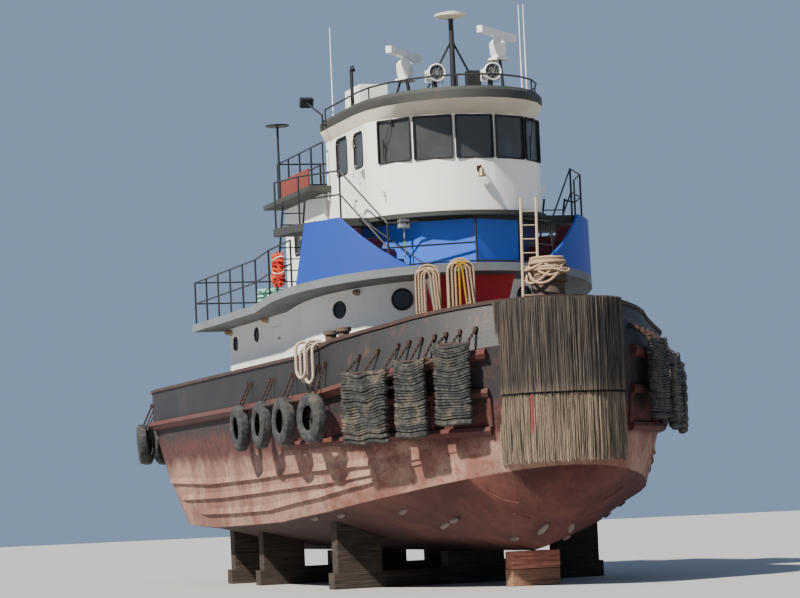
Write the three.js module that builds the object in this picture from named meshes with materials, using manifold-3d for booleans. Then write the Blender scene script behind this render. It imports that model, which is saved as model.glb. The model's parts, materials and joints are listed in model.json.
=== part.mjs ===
// Harbour tugboat, hauled out on keel and bilge blocks.
// Millimetres, +X to the bow, +Y to port, +Z up. The ground is Z = 0 and X = 0 is amidships.

import * as THREE from 'three';
import Module from 'manifold-3d';
import { mergeVertices } from 'three/addons/utils/BufferGeometryUtils.js';

const wasm = await Module();
wasm.setup();

// Driving dimensions
const HALF_LENGTH = 12650;
const HALF_BEAM = 4000;
const KEEL_BOTTOM = 710;
const DECK_HEIGHT = 4200;
const BOW_DECK_RISE = 590;
const SHEER_START = 6750;
const WHEELHOUSE_X = 4750;
const WHEELHOUSE_RADIUS = 2085;
const WHEELHOUSE_HALF_WIDTH = 1985;
const BOAT_DECK_HEIGHT = 6430;
const BOAT_DECK_SLOPE = 0.085;
const BOAT_DECK_SLOPE_START = 1750;
const BOAT_DECK_THICKNESS = 180;
const BRIDGE_DECK_TOP = 8000;
const HOUSE_TOP_DECK = 9080;
const ROOF_TOP = 10600;
const PLATE = 80;
const GAP = 0.3;
const SIDES = [['starboard', -1], ['port', 1]];

// Plan of a deck or level: two half ellipses joined by straight sides
const DECK_PLAN = { sternEnd: -12350, sternStart: -8050, bowStart: 5250, bowEnd: 12000, half: HALF_BEAM };
const CHINE_PLAN = { sternEnd: -11350, sternStart: -5750, bowStart: 3250, bowEnd: 12000, half: 3600 };
const BOAT_DECK_PLAN = { aft: -4650, bowStart: 2850, bowEnd: 6900, half: 3750 };
const DECKHOUSE_PLAN = { aft: -3850, bowStart: 2600, bowEnd: 6000, half: 3000 };

// Small maths

const degrees = (angle) => THREE.MathUtils.degToRad(angle);

// Straight-line interpolation in a table of [x, value] rows, flat beyond its ends
function fromTable(rows, x) {
  if (x <= rows[0][0]) return rows[0][1];
  for (let i = 1; i < rows.length; i += 1) {
    const [x0, v0] = rows[i - 1];
    const [x1, v1] = rows[i];
    if (x <= x1) return v0 + ((v1 - v0) * (x - x0)) / (x1 - x0);
  }
  return rows[rows.length - 1][1];
}

// Solids

// Signed volume inside a list of triangles, negative where the faces point inwards
function volumeOf(positions, triVerts) {
  const corner = (i) => new THREE.Vector3(...positions.slice(3 * triVerts[i], 3 * triVerts[i] + 3));
  let volume = 0;
  for (let i = 0; i < triVerts.length; i += 3) {
    volume += corner(i).dot(corner(i + 1).cross(corner(i + 2))) / 6;
  }
  return volume;
}

function solidOf(geometry) {
  const bare = geometry.index ? geometry.toNonIndexed() : geometry.clone();
  bare.deleteAttribute('normal');
  bare.deleteAttribute('uv');
  const merged = mergeVertices(bare, 0.001);
  const vertProperties = new Float32Array(merged.attributes.position.array);
  const corners = merged.index.array;
  const triVerts = [];
  for (let i = 0; i < corners.length; i += 3) {
    const [a, b, c] = [corners[i], corners[i + 1], corners[i + 2]];
    if (a !== b && b !== c && c !== a) triVerts.push(a, b, c);
  }
  if (volumeOf(vertProperties, triVerts) < 0) triVerts.reverse();
  return new wasm.Manifold(
    new wasm.Mesh({ numProp: 3, vertProperties, triVerts: new Uint32Array(triVerts) }),
  );
}

function geometryOf(solid) {
  const mesh = solid.getMesh();
  const geometry = new THREE.BufferGeometry();
  geometry.setAttribute('position', new THREE.BufferAttribute(mesh.vertProperties, 3));
  geometry.setIndex(new THREE.BufferAttribute(mesh.triVerts, 1));
  return geometry;
}

const join = (solids) => solids.reduce((whole, next) => whole.add(next));
const cut = (solid, tools) => tools.reduce((left, tool) => left.subtract(tool), solid);

function block(x0, x1, y0, y1, z0, z1) {
  const geometry = new THREE.BoxGeometry(x1 - x0, y1 - y0, z1 - z0);
  geometry.translate((x0 + x1) / 2, (y0 + y1) / 2, (z0 + z1) / 2);
  return solidOf(geometry);
}

// Box of a length, width and height, centred on a point and turned about Z, then tilted about its own width
function box([length, width, height], [x, y, z], turn = 0, tilt = 0) {
  const geometry = new THREE.BoxGeometry(length, width, height);
  geometry.rotateY(tilt);
  geometry.rotateZ(turn);
  geometry.translate(x, y, z);
  return solidOf(geometry);
}

// Round bar or cone between two points, r0 at the first and r1 at the second
function bar(from, to, r0, r1 = r0, sides = 10) {
  const start = new THREE.Vector3(...from);
  const end = new THREE.Vector3(...to);
  const along = end.clone().sub(start);
  const geometry = new THREE.CylinderGeometry(r1, r0, along.length(), sides);
  const turn = new THREE.Quaternion().setFromUnitVectors(new THREE.Vector3(0, 1, 0), along.normalize());
  geometry.applyQuaternion(turn);
  geometry.translate(...start.add(end).multiplyScalar(0.5).toArray());
  return solidOf(geometry);
}

// Pipe through a list of points: straight bars that run a little past each bend
function pipe(points, radius, sides = 5) {
  const solids = [];
  for (let i = 1; i < points.length; i += 1) {
    const start = new THREE.Vector3(...points[i - 1]);
    const end = new THREE.Vector3(...points[i]);
    const past = end.clone().sub(start).setLength(radius * 0.6);
    const from = i > 1 ? start.clone().sub(past) : start;
    const to = i < points.length - 1 ? end.clone().add(past) : end;
    solids.push(bar(from.toArray(), to.toArray(), radius, radius, sides));
  }
  return join(solids);
}

// Rectangle with cut or rounded corners, as a list of points
function roundedRect(u0, u1, v0, v1, radius, steps = 2) {
  const corners = [[u1 - radius, v1 - radius, 0], [u0 + radius, v1 - radius, 90],
    [u0 + radius, v0 + radius, 180], [u1 - radius, v0 + radius, 270]];
  return corners.flatMap(([u, v, start]) => Array.from({ length: steps + 1 }, (_, i) => {
    const angle = degrees(start + (90 * i) / steps);
    return [u + radius * Math.cos(angle), v + radius * Math.sin(angle)];
  }));
}

// Outline in plan pulled up from z0 to z1
function pullUp(outline, z0, z1) {
  const shape = new THREE.Shape(outline.map(([x, y]) => new THREE.Vector2(x, y)));
  const geometry = new THREE.ExtrudeGeometry(shape, { depth: z1 - z0, bevelEnabled: false });
  geometry.translate(0, 0, z0);
  return solidOf(geometry);
}

// Outline of [x, z] points pulled across from y0 to y1
function pullAcross(outline, y0, y1) {
  const shape = new THREE.Shape(outline.map(([x, z]) => new THREE.Vector2(x, z)));
  const geometry = new THREE.ExtrudeGeometry(shape, { depth: y1 - y0, bevelEnabled: false });
  geometry.rotateX(Math.PI / 2);
  geometry.translate(0, y1, 0);
  return solidOf(geometry);
}

// Outline of [y, z] points pulled forward from x0 to x1
function pullForward(outline, x0, x1) {
  const shape = new THREE.Shape(outline.map(([y, z]) => new THREE.Vector2(y, z)));
  const geometry = new THREE.ExtrudeGeometry(shape, { depth: x1 - x0, bevelEnabled: false });
  geometry.rotateX(Math.PI / 2);
  geometry.rotateZ(Math.PI / 2);
  geometry.translate(x0, 0, 0);
  return solidOf(geometry);
}

// Profile of [radius, height] points turned about a line along Z through (x, y)
function turned(profile, x, y, z, segments = 20) {
  const points = profile.map(([r, h]) => new THREE.Vector2(r, h));
  const geometry = new THREE.LatheGeometry(points, segments);
  geometry.rotateX(Math.PI / 2);
  geometry.translate(x, y, z);
  return solidOf(geometry);
}

// Skin through rings of equal length; a closed loop of rings has no ends, others are capped
function skin(rings, isLoop = false) {
  const positions = [];
  const triangle = (a, b, c) => positions.push(...a, ...b, ...c);
  const count = rings[0].length;
  const spans = isLoop ? rings.length : rings.length - 1;
  for (let i = 0; i < spans; i += 1) {
    const here = rings[i];
    const next = rings[(i + 1) % rings.length];
    for (let k = 0; k < count; k += 1) {
      const after = (k + 1) % count;
      triangle(here[k], next[k], next[after]);
      triangle(here[k], next[after], here[after]);
    }
  }
  if (!isLoop) {
    const last = rings[rings.length - 1];
    for (let k = 1; k < count - 1; k += 1) {
      triangle(rings[0][0], rings[0][k], rings[0][k + 1]);
      triangle(last[0], last[k + 1], last[k]);
    }
  }
  const geometry = new THREE.BufferGeometry();
  geometry.setAttribute('position', new THREE.Float32BufferAttribute(positions, 3));
  return solidOf(geometry);
}

// Plan curves

// Half outline of a hull level from the stern to the bow, as { x, y, nx, ny } with the outward normal
function halfPlan(plan, steps = { stern: 8, side: 4, bow: 12 }) {
  const points = [];
  const sternLength = plan.sternStart - plan.sternEnd;
  const bowLength = plan.bowEnd - plan.bowStart;
  for (let i = 0; i < steps.stern; i += 1) {
    const angle = (i / steps.stern) * (Math.PI / 2);
    const normal = new THREE.Vector2(-Math.cos(angle) / sternLength, Math.sin(angle) / plan.half).normalize();
    const x = plan.sternStart - sternLength * Math.cos(angle);
    points.push({ x, y: plan.half * Math.sin(angle), nx: normal.x, ny: normal.y });
  }
  for (let i = 0; i < steps.side; i += 1) {
    const x = plan.sternStart + ((plan.bowStart - plan.sternStart) * i) / steps.side;
    points.push({ x, y: plan.half, nx: 0, ny: 1 });
  }
  for (let i = 0; i <= steps.bow; i += 1) {
    const angle = (i / steps.bow) * (Math.PI / 2);
    const normal = new THREE.Vector2(Math.sin(angle) / bowLength, Math.cos(angle) / plan.half).normalize();
    const y = i === steps.bow ? 0 : plan.half * Math.cos(angle);
    points.push({ x: plan.bowStart + bowLength * Math.sin(angle), y, nx: normal.x, ny: normal.y });
  }
  return points;
}

// Both halves as one loop, port side from the stern first
function wholePlan(plan) {
  const port = halfPlan(plan);
  const starboard = port.slice(1, -1).reverse().map((p) => ({ ...p, y: -p.y, ny: -p.ny }));
  return [...port, ...starboard];
}

// Outline with a square aft end and an elliptical front, moved inwards by inset
function roundFront(plan, inset = 0, steps = 10) {
  const half = plan.half - inset;
  const reach = plan.bowEnd - inset - plan.bowStart;
  const port = [[plan.aft + inset, half]];
  if (plan.bowStart > BOAT_DECK_SLOPE_START) port.push([BOAT_DECK_SLOPE_START, half]);
  for (let i = 0; i < steps; i += 1) {
    const angle = (i / steps) * (Math.PI / 2);
    port.push([plan.bowStart + reach * Math.sin(angle), half * Math.cos(angle)]);
  }
  const starboard = port.map(([x, y]) => [x, -y]);
  return [...starboard, [plan.bowStart + reach, 0], ...port.reverse()];
}

// Outline of the wheelhouse, moved outwards by grow: an arc in front and flat sides back to aft
function wheelhouseOutline(grow, aft, steps = 12) {
  const radius = WHEELHOUSE_RADIUS + grow;
  const half = WHEELHOUSE_HALF_WIDTH + grow;
  const shoulder = Math.asin(half / radius);
  const outline = [[aft, -half]];
  for (let i = 0; i <= steps; i += 1) {
    const angle = -shoulder + (2 * shoulder * i) / steps;
    outline.push([WHEELHOUSE_X + radius * Math.cos(angle), radius * Math.sin(angle)]);
  }
  outline.push([aft, half]);
  return outline;
}

// Heights

function deckHeight(x) {
  const along = Math.max(0, (x - SHEER_START) / 4800);
  return DECK_HEIGHT + BOW_DECK_RISE * along ** 1.3;
}

// Columns: x, height of the chine
const CHINE_HEIGHTS = [
  [-11350, 2750], [-9950, 2450], [-8050, 1880], [-6750, 1480], [-3250, 1400], [2750, 1480],
  [6050, 1670], [7950, 1860], [9250, 2000], [10950, 2230], [12000, 2400],
];

// Columns: x, height of the bulwark above the deck
const BULWARK_HEIGHTS = [[6250, 740], [8250, 930], [10250, 930], [12000, 850]];

// Columns: x, how far the top of the bulwark leans inboard
const BULWARK_LEAN = [[7700, 0], [9000, 420], [11000, 420], [12000, 320]];

// Columns: x, height of the hull bottom on the centreline, aft of the flat keel
const AFT_RUN = [[-11350, 2750], [-9500, 2700], [-8000, 2250], [-6500, 1300], [-4750, KEEL_BOTTOM]];
const FOREFOOT = { start: 9350, end: 12000, top: 2400 };

function keelHeight(x) {
  if (x < FOREFOOT.start) return fromTable(AFT_RUN, x);
  const along = Math.min(1, (x - FOREFOOT.start) / (FOREFOOT.end - FOREFOOT.start));
  return KEEL_BOTTOM + (FOREFOOT.top - KEEL_BOTTOM) * (1 - Math.sqrt(1 - along ** 2));
}

const boatDeckTop = (x) => BOAT_DECK_HEIGHT + BOAT_DECK_SLOPE * Math.max(0, x - BOAT_DECK_SLOPE_START);

// Materials

const paint = (color, roughness = 0.6, metalness = 0.0) =>
  new THREE.MeshStandardMaterial({ color, roughness, metalness });

const FINISH = {
  black: paint(0x23262b, 0.7),
  bottomRed: paint(0x5b2f2c, 0.8),
  rustyRed: paint(0x8a4a42, 0.8),
  white: paint(0xe4e2dc, 0.5),
  blue: paint(0x4579cc, 0.5),
  maroon: paint(0x7a2430, 0.6),
  greyDeck: paint(0x6f7678, 0.7),
  olive: paint(0x5c5f55, 0.7),
  railBlack: paint(0x1d1f22, 0.5),
  rubber: paint(0x2a2a2b, 0.9),
  pudding: paint(0x57503f, 0.95),
  timber: paint(0x7b5a45, 0.9),
  bronze: paint(0x9c7a3f, 0.4, 0.8),
  steelGrey: paint(0x8b8f92, 0.5, 0.4),
  orange: paint(0xd9502c, 0.8),
  rope: paint(0xc9b290, 0.95),
  green: paint(0x86c9b0, 0.9),
};

const boat = new THREE.Group();

function addNode(name, solid, material) {
  const mesh = new THREE.Mesh(geometryOf(solid), material);
  mesh.name = name;
  boat.add(mesh);
}

// Hull: a decked, hard-chine steel hull, drawn as half sections from keel to deck

// Half section at one step of the plan: keel, bottom, chine, side and deck edge, as [x, y, z].
// grow moves the skin outwards and down, for cutting what fits against the hull.
function halfSection(low, high, grow = 0) {
  const chineZ = fromTable(CHINE_HEIGHTS, low.x) - grow;
  const keelZ = keelHeight(low.x) - grow;
  const moved = (p) => [p.x + p.nx * grow, p.y + p.ny * grow];
  const [lowX, lowY] = moved(low);
  const [highX, highY] = moved(high);
  const bottomZ = keelZ + (chineZ - keelZ) * 0.34;
  const sideZ = chineZ * 0.5 + deckHeight(high.x) * 0.5;
  return [
    [lowX, 0, keelZ],
    [lowX, lowY * 0.5, bottomZ],
    [lowX, lowY, chineZ],
    [lowX * 0.45 + highX * 0.55, lowY * 0.35 + highY * 0.65, sideZ],
    [highX, highY, deckHeight(high.x)],
  ];
}

function hullSolid(grow = 0) {
  const chine = halfPlan(CHINE_PLAN);
  const deck = halfPlan(DECK_PLAN);
  const rings = chine.map((low, i) => {
    const [keel, ...side] = halfSection(low, deck[i], grow);
    const mirrored = side.map(([x, y, z]) => [x, -y, z]);
    return [keel, ...mirrored, ...side.slice().reverse()];
  });
  return skin(rings);
}

addNode('hull', hullSolid(), FINISH.black);

// Point of the hull side at step i of the plan and height z, with the deck edge's outward normal
function onHullSide(i, z) {
  const high = halfPlan(DECK_PLAN)[i];
  const [, , chine, side, deck] = halfSection(halfPlan(CHINE_PLAN)[i], high);
  const [from, to] = z > side[2] ? [side, deck] : [chine, side];
  const t = (z - from[2]) / (to[2] - from[2]);
  const at = (k) => from[k] + (to[k] - from[k]) * t;
  return { x: at(0), y: at(1), nx: high.nx, ny: high.ny };
}

// Bulwark: a plate wall that stands on the deck edge all round and leans inboard at the bow, with a
// cap rail on top

function ringAround(plan, profile) {
  const section = (p) => profile(p).map(([out, z]) => [p.x + p.nx * out, p.y + p.ny * out, z]);
  return skin(wholePlan(plan).reverse().map(section), true);
}

const bulwarkTop = (x) => deckHeight(x) + fromTable(BULWARK_HEIGHTS, x);

function bulwarkSolid(grow = 0) {
  return ringAround(DECK_PLAN, ({ x }) => {
    const foot = deckHeight(x) + GAP;
    const top = bulwarkTop(x) + grow;
    const lean = fromTable(BULWARK_LEAN, x);
    return [[grow, foot], [grow - lean, top], [-PLATE - grow - lean, top], [-PLATE - grow, foot]];
  });
}

addNode('bulwark', bulwarkSolid(), FINISH.black);

addNode('cap_rail', ringAround(DECK_PLAN, ({ x }) => {
  const foot = bulwarkTop(x) - 6;
  const lean = fromTable(BULWARK_LEAN, x);
  const [outer, inner] = [40 - lean, -150 - lean];
  return [[outer, foot], [outer, foot + 75], [inner, foot + 75], [inner, foot]];
}).subtract(bulwarkSolid(1)), FINISH.rustyRed);

// Guards: half-round rubbing bands along the hull side

const FENDER = { x: HALF_LENGTH - 1300, radius: 1300, foot: 2480, split: 3830, top: 5680, halfWidth: 1330 };

// Section of a half-round band between heights low and high, standing out from the hull by depth
function bandSection(i, low, high, depth, sideSign) {
  const inside = -30;
  const foot = onHullSide(i, low);
  const head = onHullSide(i, high);
  const point = (p, out, z) => [p.x + p.nx * out, sideSign * (p.y + p.ny * out), z];
  return [
    point(foot, inside, low),
    point(foot, depth * 0.75, low + (high - low) * 0.12),
    point(head, depth, (low + high) / 2),
    point(head, depth * 0.75, high - (high - low) * 0.12),
    point(head, inside, high),
  ];
}

const deckSteps = halfPlan(DECK_PLAN).map((p, i) => ({ ...p, i }));
const hullWithGap = hullSolid(1);

const DECK_GUARD_DEPTH = 150;

// Deck guard: from one side of the bow fender round the stern to the other
function deckGuard() {
  const section = ({ x, i }, sign) => bandSection(
    i, deckHeight(x) - 250, deckHeight(x) - 5, DECK_GUARD_DEPTH, sign,
  );
  const port = deckSteps.filter((p) => p.x < 0 || p.y > FENDER.halfWidth);
  const starboard = port.slice(1).reverse();
  return skin([...starboard.map((p) => section(p, -1)), ...port.map((p) => section(p, 1))]).subtract(
    hullWithGap,
  );
}

addNode('guard_deck', deckGuard(), FINISH.rustyRed);

// Bow guards: two bands a side with straps between them. Columns: height of the centre, first x
const BOW_GUARDS = [[3880, 8200], [3130, 5200]];
const BOW_GUARD = { half: 100, depth: 130, strap: 45 };
const guardRun = (firstX) => deckSteps.filter((p) => p.x > firstX && p.y > FENDER.halfWidth);
function bowGuard(sign) {
  const { half, depth, strap } = BOW_GUARD;
  const bands = BOW_GUARDS.map(([height, firstX]) => skin(
    guardRun(firstX).map(({ i }) => bandSection(i, height - half, height + half, depth, sign)),
  ));
  const [[upper, firstX], [lower]] = BOW_GUARDS;
  const straps = guardRun(firstX).filter((_, k) => k % 2 === 1).map(({ i }) => {
    const place = (z) => {
      const at = onHullSide(i, z);
      return [at.x + at.nx * strap * 0.6, sign * (at.y + at.ny * strap * 0.6), z];
    };
    return bar(place(lower + half - 20), place(upper - half + 20), strap, strap, 8);
  });
  return join([...bands, ...straps]).subtract(hullWithGap);
}
for (const [side, sign] of SIDES) addNode(`guard_bow_${side}`, bowGuard(sign), FINISH.rustyRed);

// Bow fender: a half round of hung strands in two tiers, cut to the hull behind it
const FENDER_CLEAR = 45;
const bulwarkSpaceRing = (heightAt) => wholePlan(DECK_PLAN).map(({ x, y, nx, ny }) => {
  const z = heightAt(x);
  const share = Math.min(1, (z - deckHeight(x)) / (bulwarkTop(x) - deckHeight(x)));
  const out = FENDER_CLEAR - fromTable(BULWARK_LEAN, x) * share;
  return [x + nx * out, y + ny * out, z];
});
const circle = (x, y, radius, count = 32) => Array.from({ length: count }, (_, i) => {
  const angle = (2 * Math.PI * i) / count;
  return [x + radius * Math.cos(angle), y + radius * Math.sin(angle)];
});
const hullSpace = join([hullSolid(8), skin([() => 4500, bulwarkTop, () => 6500].map(bulwarkSpaceRing))]);
// Columns: name, foot, head, radius
const FENDER_TIERS = [
  ['lower', FENDER.foot, FENDER.split - GAP, FENDER.radius - 25],
  ['upper', FENDER.split, FENDER.top, FENDER.radius],
];
for (const [tier, foot, head, radius] of FENDER_TIERS) {
  const drum = pullUp(circle(FENDER.x, 0, radius), foot, head);
  addNode(`bow_fender_${tier}`, drum.subtract(hullSpace), FINISH.pudding);
}

// Stern fender: a thick rubber band outside the deck guard, round the middle of the stern
const STERN_FENDER = {
  inner: DECK_GUARD_DEPTH + GAP, outer: HALF_LENGTH + DECK_PLAN.sternEnd, foot: 3740, head: 4190, half: 2300,
};
const sternSteps = deckSteps.filter((p) => p.x < 0 && p.y < STERN_FENDER.half);
const sternSection = ({ x, y, nx, ny }, sign) => {
  const { inner, outer, foot, head } = STERN_FENDER;
  const profile = [[inner, foot], [outer, foot + 60], [outer, head - 60], [inner, head]];
  return profile.map(([out, z]) => [x + nx * out, sign * (y + ny * out), z]);
};
addNode('stern_fender', skin([
  ...sternSteps.slice(1).reverse().map((p) => sternSection(p, -1)),
  ...sternSteps.map((p) => sternSection(p, 1)),
]), FINISH.rubber);

// Truck tyres hung along the sides as fenders, on a bar between their tops

// Point and turn at a place on the deck edge, by its x
function deckEdge(x, sign) {
  const { sternEnd, sternStart, bowStart, bowEnd } = DECK_PLAN;
  const isBow = x > bowStart;
  const plan = isBow ? bowEnd - bowStart : sternStart - sternEnd;
  const start = isBow ? bowStart : sternStart;
  const isCurved = isBow || x < sternStart;
  const along = isCurved ? (x - start) / plan : 0;
  const y = HALF_BEAM * Math.sqrt(1 - along ** 2);
  const normal = new THREE.Vector2(isCurved ? along / plan : 0, y / HALF_BEAM ** 2).normalize();
  return { x, y: sign * y, nx: normal.x, ny: sign * normal.y, turn: Math.atan2(sign * normal.y, normal.x) };
}

const TYRE = { ring: 400, tube: 130, standOff: 295, drop: 3640 };

function tyre(x, sign, z = TYRE.drop) {
  const edge = deckEdge(x, sign);
  const geometry = new THREE.TorusGeometry(TYRE.ring, TYRE.tube, 8, 16);
  geometry.rotateY(Math.PI / 2);
  geometry.rotateZ(edge.turn);
  geometry.translate(edge.x + edge.nx * TYRE.standOff, edge.y + edge.ny * TYRE.standOff, z);
  return solidOf(geometry);
}

function tyreRow(stations, sign) {
  const bars = stations.map((x) => {
    const edge = deckEdge(x, sign);
    return [edge.x + edge.nx * TYRE.standOff, edge.y + edge.ny * TYRE.standOff, TYRE.drop + TYRE.ring];
  });
  return join([...stations.map((x) => tyre(x, sign)), pipe(bars, 28)]);
}

const SIDE_TYRES = [2150, 4150, 5950, 7450];
const QUARTER_TYRES = [-8800, -9950, -10950];
for (const [side, sign] of SIDES) {
  addNode(`side_tyres_${side}`, tyreRow(SIDE_TYRES, sign), FINISH.rubber);
  addNode(`quarter_tyres_${side}`, tyreRow(QUARTER_TYRES, sign), FINISH.rubber);
}

// Woven mats hung over the bow shoulders on one bar a side. Columns: x on the deck edge, width, head, foot
const MATS = [[9250, 1450, 4460, 2990], [10360, 800, 4600, 3030], [11090, 820, 4880, 3230]];
const MAT = { thickness: 190, standOff: 260, bar: 32, barDrop: 190 };
for (const [side, sign] of SIDES) {
  const hung = MATS.map(([x, width, head, foot]) => {
    const edge = deckEdge(x, sign);
    const place = [edge.x + edge.nx * MAT.standOff, edge.y + edge.ny * MAT.standOff];
    return {
      mat: box([MAT.thickness, width, head - foot], [...place, (head + foot) / 2], edge.turn),
      hook: [...place, head - MAT.barDrop],
    };
  });
  addNode(
    `mats_${side}`, join([...hung.map(({ mat }) => mat), pipe(hung.map(({ hook }) => hook), MAT.bar)]),
    FINISH.rubber,
  );
}

// Stern gear below the hull: skeg with its sole piece, propeller and rudder

const SKEG = { half: 110, aft: -8700, soleEnd: -10850, soleTop: 830 };
const SHAFT = { z: 1640, tube: 210, end: -9000 };
const hullClear = (x) => keelHeight(x) - 4;
const skegPlate = pullAcross([
  [-4900, KEEL_BOTTOM], [-6500, hullClear(-6500)], [-8000, hullClear(-8000)], [
    SKEG.aft, hullClear(SKEG.aft),
  ],
  [SKEG.aft, SKEG.soleTop], [SKEG.soleEnd, SKEG.soleTop], [SKEG.soleEnd, KEEL_BOTTOM],
], -SKEG.half, SKEG.half);
const shaftTube = bar([-7300, 0, SHAFT.z], [SHAFT.end, 0, SHAFT.z], SHAFT.tube, SHAFT.tube * 0.9, 12);
addNode('skeg', skegPlate.add(shaftTube).subtract(hullSolid(4)), FINISH.bottomRed);

const PROPELLER = { x: -9260, radius: 760, hub: 150, blades: 4, pitch: degrees(36) };
function propeller() {
  const hub = bar([PROPELLER.x + 220, 0, SHAFT.z], [PROPELLER.x - 260, 0, SHAFT.z], PROPELLER.hub, 70, 12);
  const blades = Array.from({ length: PROPELLER.blades }, (_, i) => {
    const outline = [
      [-170, 90], [170, 90], [300, 420], [270, 660], [0, PROPELLER.radius], [-270, 660], [-300, 420],
    ];
    const shape = new THREE.Shape(outline.map(([u, v]) => new THREE.Vector2(u, v)));
    const geometry = new THREE.ExtrudeGeometry(shape, { depth: 36, bevelEnabled: false });
    geometry.translate(0, 0, -18);
    geometry.rotateY(Math.PI / 2 - PROPELLER.pitch);
    geometry.rotateX(Math.PI / 2 + (2 * Math.PI * i) / PROPELLER.blades + degrees(45));
    geometry.translate(PROPELLER.x, 0, SHAFT.z);
    return solidOf(geometry);
  });
  return join([hub, ...blades]);
}
addNode('propeller', propeller(), FINISH.bronze);

const RUDDER = {
  x: -10500, fore: -10060, thick: -10300, aft: -11200, foot: 870, head: 2560, half: 70, stock: 75,
};
const rudderPlate = pullUp([
  [RUDDER.fore, -RUDDER.half * 0.4], [RUDDER.thick, -RUDDER.half], [RUDDER.aft, -15],
  [RUDDER.aft, 15], [RUDDER.thick, RUDDER.half], [RUDDER.fore, RUDDER.half * 0.4],
], RUDDER.foot, RUDDER.head);
const rudderStock = bar(
  [RUDDER.x, 0, RUDDER.foot - 30], [RUDDER.x, 0, 2700], RUDDER.stock, RUDDER.stock, 12,
);
addNode('rudder', rudderPlate.add(rudderStock), FINISH.bottomRed);

// Blocking: the keel block under the forefoot and cross timbers with keel and bilge stacks

const TIMBER = { height: 350, width: 450, keelHalf: 525 };
addNode(
  'keel_block_forward',
  block(9080, 9080 + TIMBER.width, -TIMBER.keelHalf, TIMBER.keelHalf, 0, KEEL_BOTTOM - GAP), FINISH.timber,
);

const BILGE_STACK = { inner: 2000, outer: 3000, reach: 3100, head: 2000 };
const hullOnBlocks = hullSolid(3);
function blockingBent(x) {
  const { inner, outer, reach, head } = BILGE_STACK;
  const [x0, x1] = [x - TIMBER.width / 2, x + TIMBER.width / 2];
  const stacks = SIDES.map(([, sign]) => {
    const [y0, y1] = [sign * inner, sign * outer].sort((a, b) => a - b);
    return block(x0, x1, y0, y1, TIMBER.height - 1, head);
  });
  const sleeper = block(x0, x1, -reach, reach, 0, TIMBER.height);
  const keelBlock = block(x0, x1, -TIMBER.keelHalf, TIMBER.keelHalf, TIMBER.height - 1, KEEL_BOTTOM - GAP);
  return join([sleeper, keelBlock, ...stacks.map((stack) => stack.subtract(hullOnBlocks))]);
}
const BENTS = [['aft', -4400], ['middle', -1500], ['fore', 5000]];
for (const [place, x] of BENTS) addNode(`blocking_${place}`, blockingBent(x), FINISH.timber);

// Main deckhouse, hollow, with a door in each side and one aft; the boat deck is its roof

const DOOR = { width: 700, head: 6000, sill: DECK_HEIGHT + 230, clear: 12, leaf: 50 };
const SIDE_DOOR_X = 450;
const ROOM_TOP = 8500;
const slopeCut = (z0, offset) => [
  [-14000, z0], [14000, z0], [14000, boatDeckTop(14000) + offset],
  [BOAT_DECK_SLOPE_START, BOAT_DECK_HEIGHT + offset], [-14000, BOAT_DECK_HEIGHT + offset],
];
const underBoatDeckTop = pullAcross(slopeCut(3000, GAP), -6000, 6000);
const aboveBoatDeckSoffit = pullAcross(slopeCut(9500, -BOAT_DECK_THICKNESS - GAP), -6000, 6000);

const houseShell = pullUp(roundFront(DECKHOUSE_PLAN), DECK_HEIGHT + GAP, ROOM_TOP)
  .subtract(pullUp(roundFront(DECKHOUSE_PLAN, PLATE), DECK_HEIGHT - 50, ROOM_TOP + 50));
const sideDoorHole = (sign) => block(
  SIDE_DOOR_X, SIDE_DOOR_X + DOOR.width,
  Math.min(sign * 2800, sign * 3200), Math.max(sign * 2800, sign * 3200), DOOR.sill, DOOR.head,
);
const aftDoorHole = block(-4000, -3600, -DOOR.width / 2, DOOR.width / 2, DOOR.sill, DOOR.head);

// Flared front that carries the boat deck ahead of the deckhouse, welded to its wall
const FLARE = { half: 950, footHalf: 620, foot: 5150, aft: 5600, footX: 6060, headX: 6780 };
const flareSide = pullAcross([
  [FLARE.aft, FLARE.foot], [FLARE.footX, FLARE.foot], [FLARE.headX, 9000], [FLARE.aft, 9000],
], -FLARE.half, FLARE.half);
const flareWedge = pullForward([
  [-FLARE.footHalf, FLARE.foot - 5], [FLARE.footHalf, FLARE.foot - 5], [FLARE.half, 6680], [
    FLARE.half, 9000,
  ],
  [-FLARE.half, 9000], [-FLARE.half, 6680],
], FLARE.aft - 5, FLARE.headX + 2000);
const flare = flareSide.intersect(flareWedge).subtract(
  pullUp(roundFront(DECKHOUSE_PLAN, PLATE / 2), 4000, 9100),
);
addNode('deckhouse', cut(houseShell.add(flare), [
  aboveBoatDeckSoffit, sideDoorHole(-1), sideDoorHole(1), aftDoorHole,
]), FINISH.white);

for (const [side, sign] of SIDES) {
  const face = DECKHOUSE_PLAN.half;
  addNode(`deckhouse_door_${side}`, block(
    SIDE_DOOR_X + DOOR.clear, SIDE_DOOR_X + DOOR.width - DOOR.clear,
    Math.min(sign * (face - DOOR.leaf), sign * face), Math.max(sign * (face - DOOR.leaf), sign * face),
    DOOR.sill + DOOR.clear, DOOR.head - DOOR.clear,
  ), FINISH.white);
}
addNode('deckhouse_door_aft', block(
  DECKHOUSE_PLAN.aft, DECKHOUSE_PLAN.aft + DOOR.leaf,
  -DOOR.width / 2 + DOOR.clear, DOOR.width / 2 - DOOR.clear, DOOR.sill + DOOR.clear, DOOR.head - DOOR.clear,
), FINISH.white);

// Boat deck: a flat slab aft that slopes up ahead of its break
addNode('boat_deck', pullUp(roundFront(BOAT_DECK_PLAN), 5000, 9000)
  .intersect(pullAcross(slopeCut(3000, 0), -5000, 5000))
  .subtract(pullAcross(slopeCut(3000, -BOAT_DECK_THICKNESS), -5000, 5000)), FINISH.greyDeck);

// Aft cabin and wheelhouse base on the boat deck, both hollow

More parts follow.
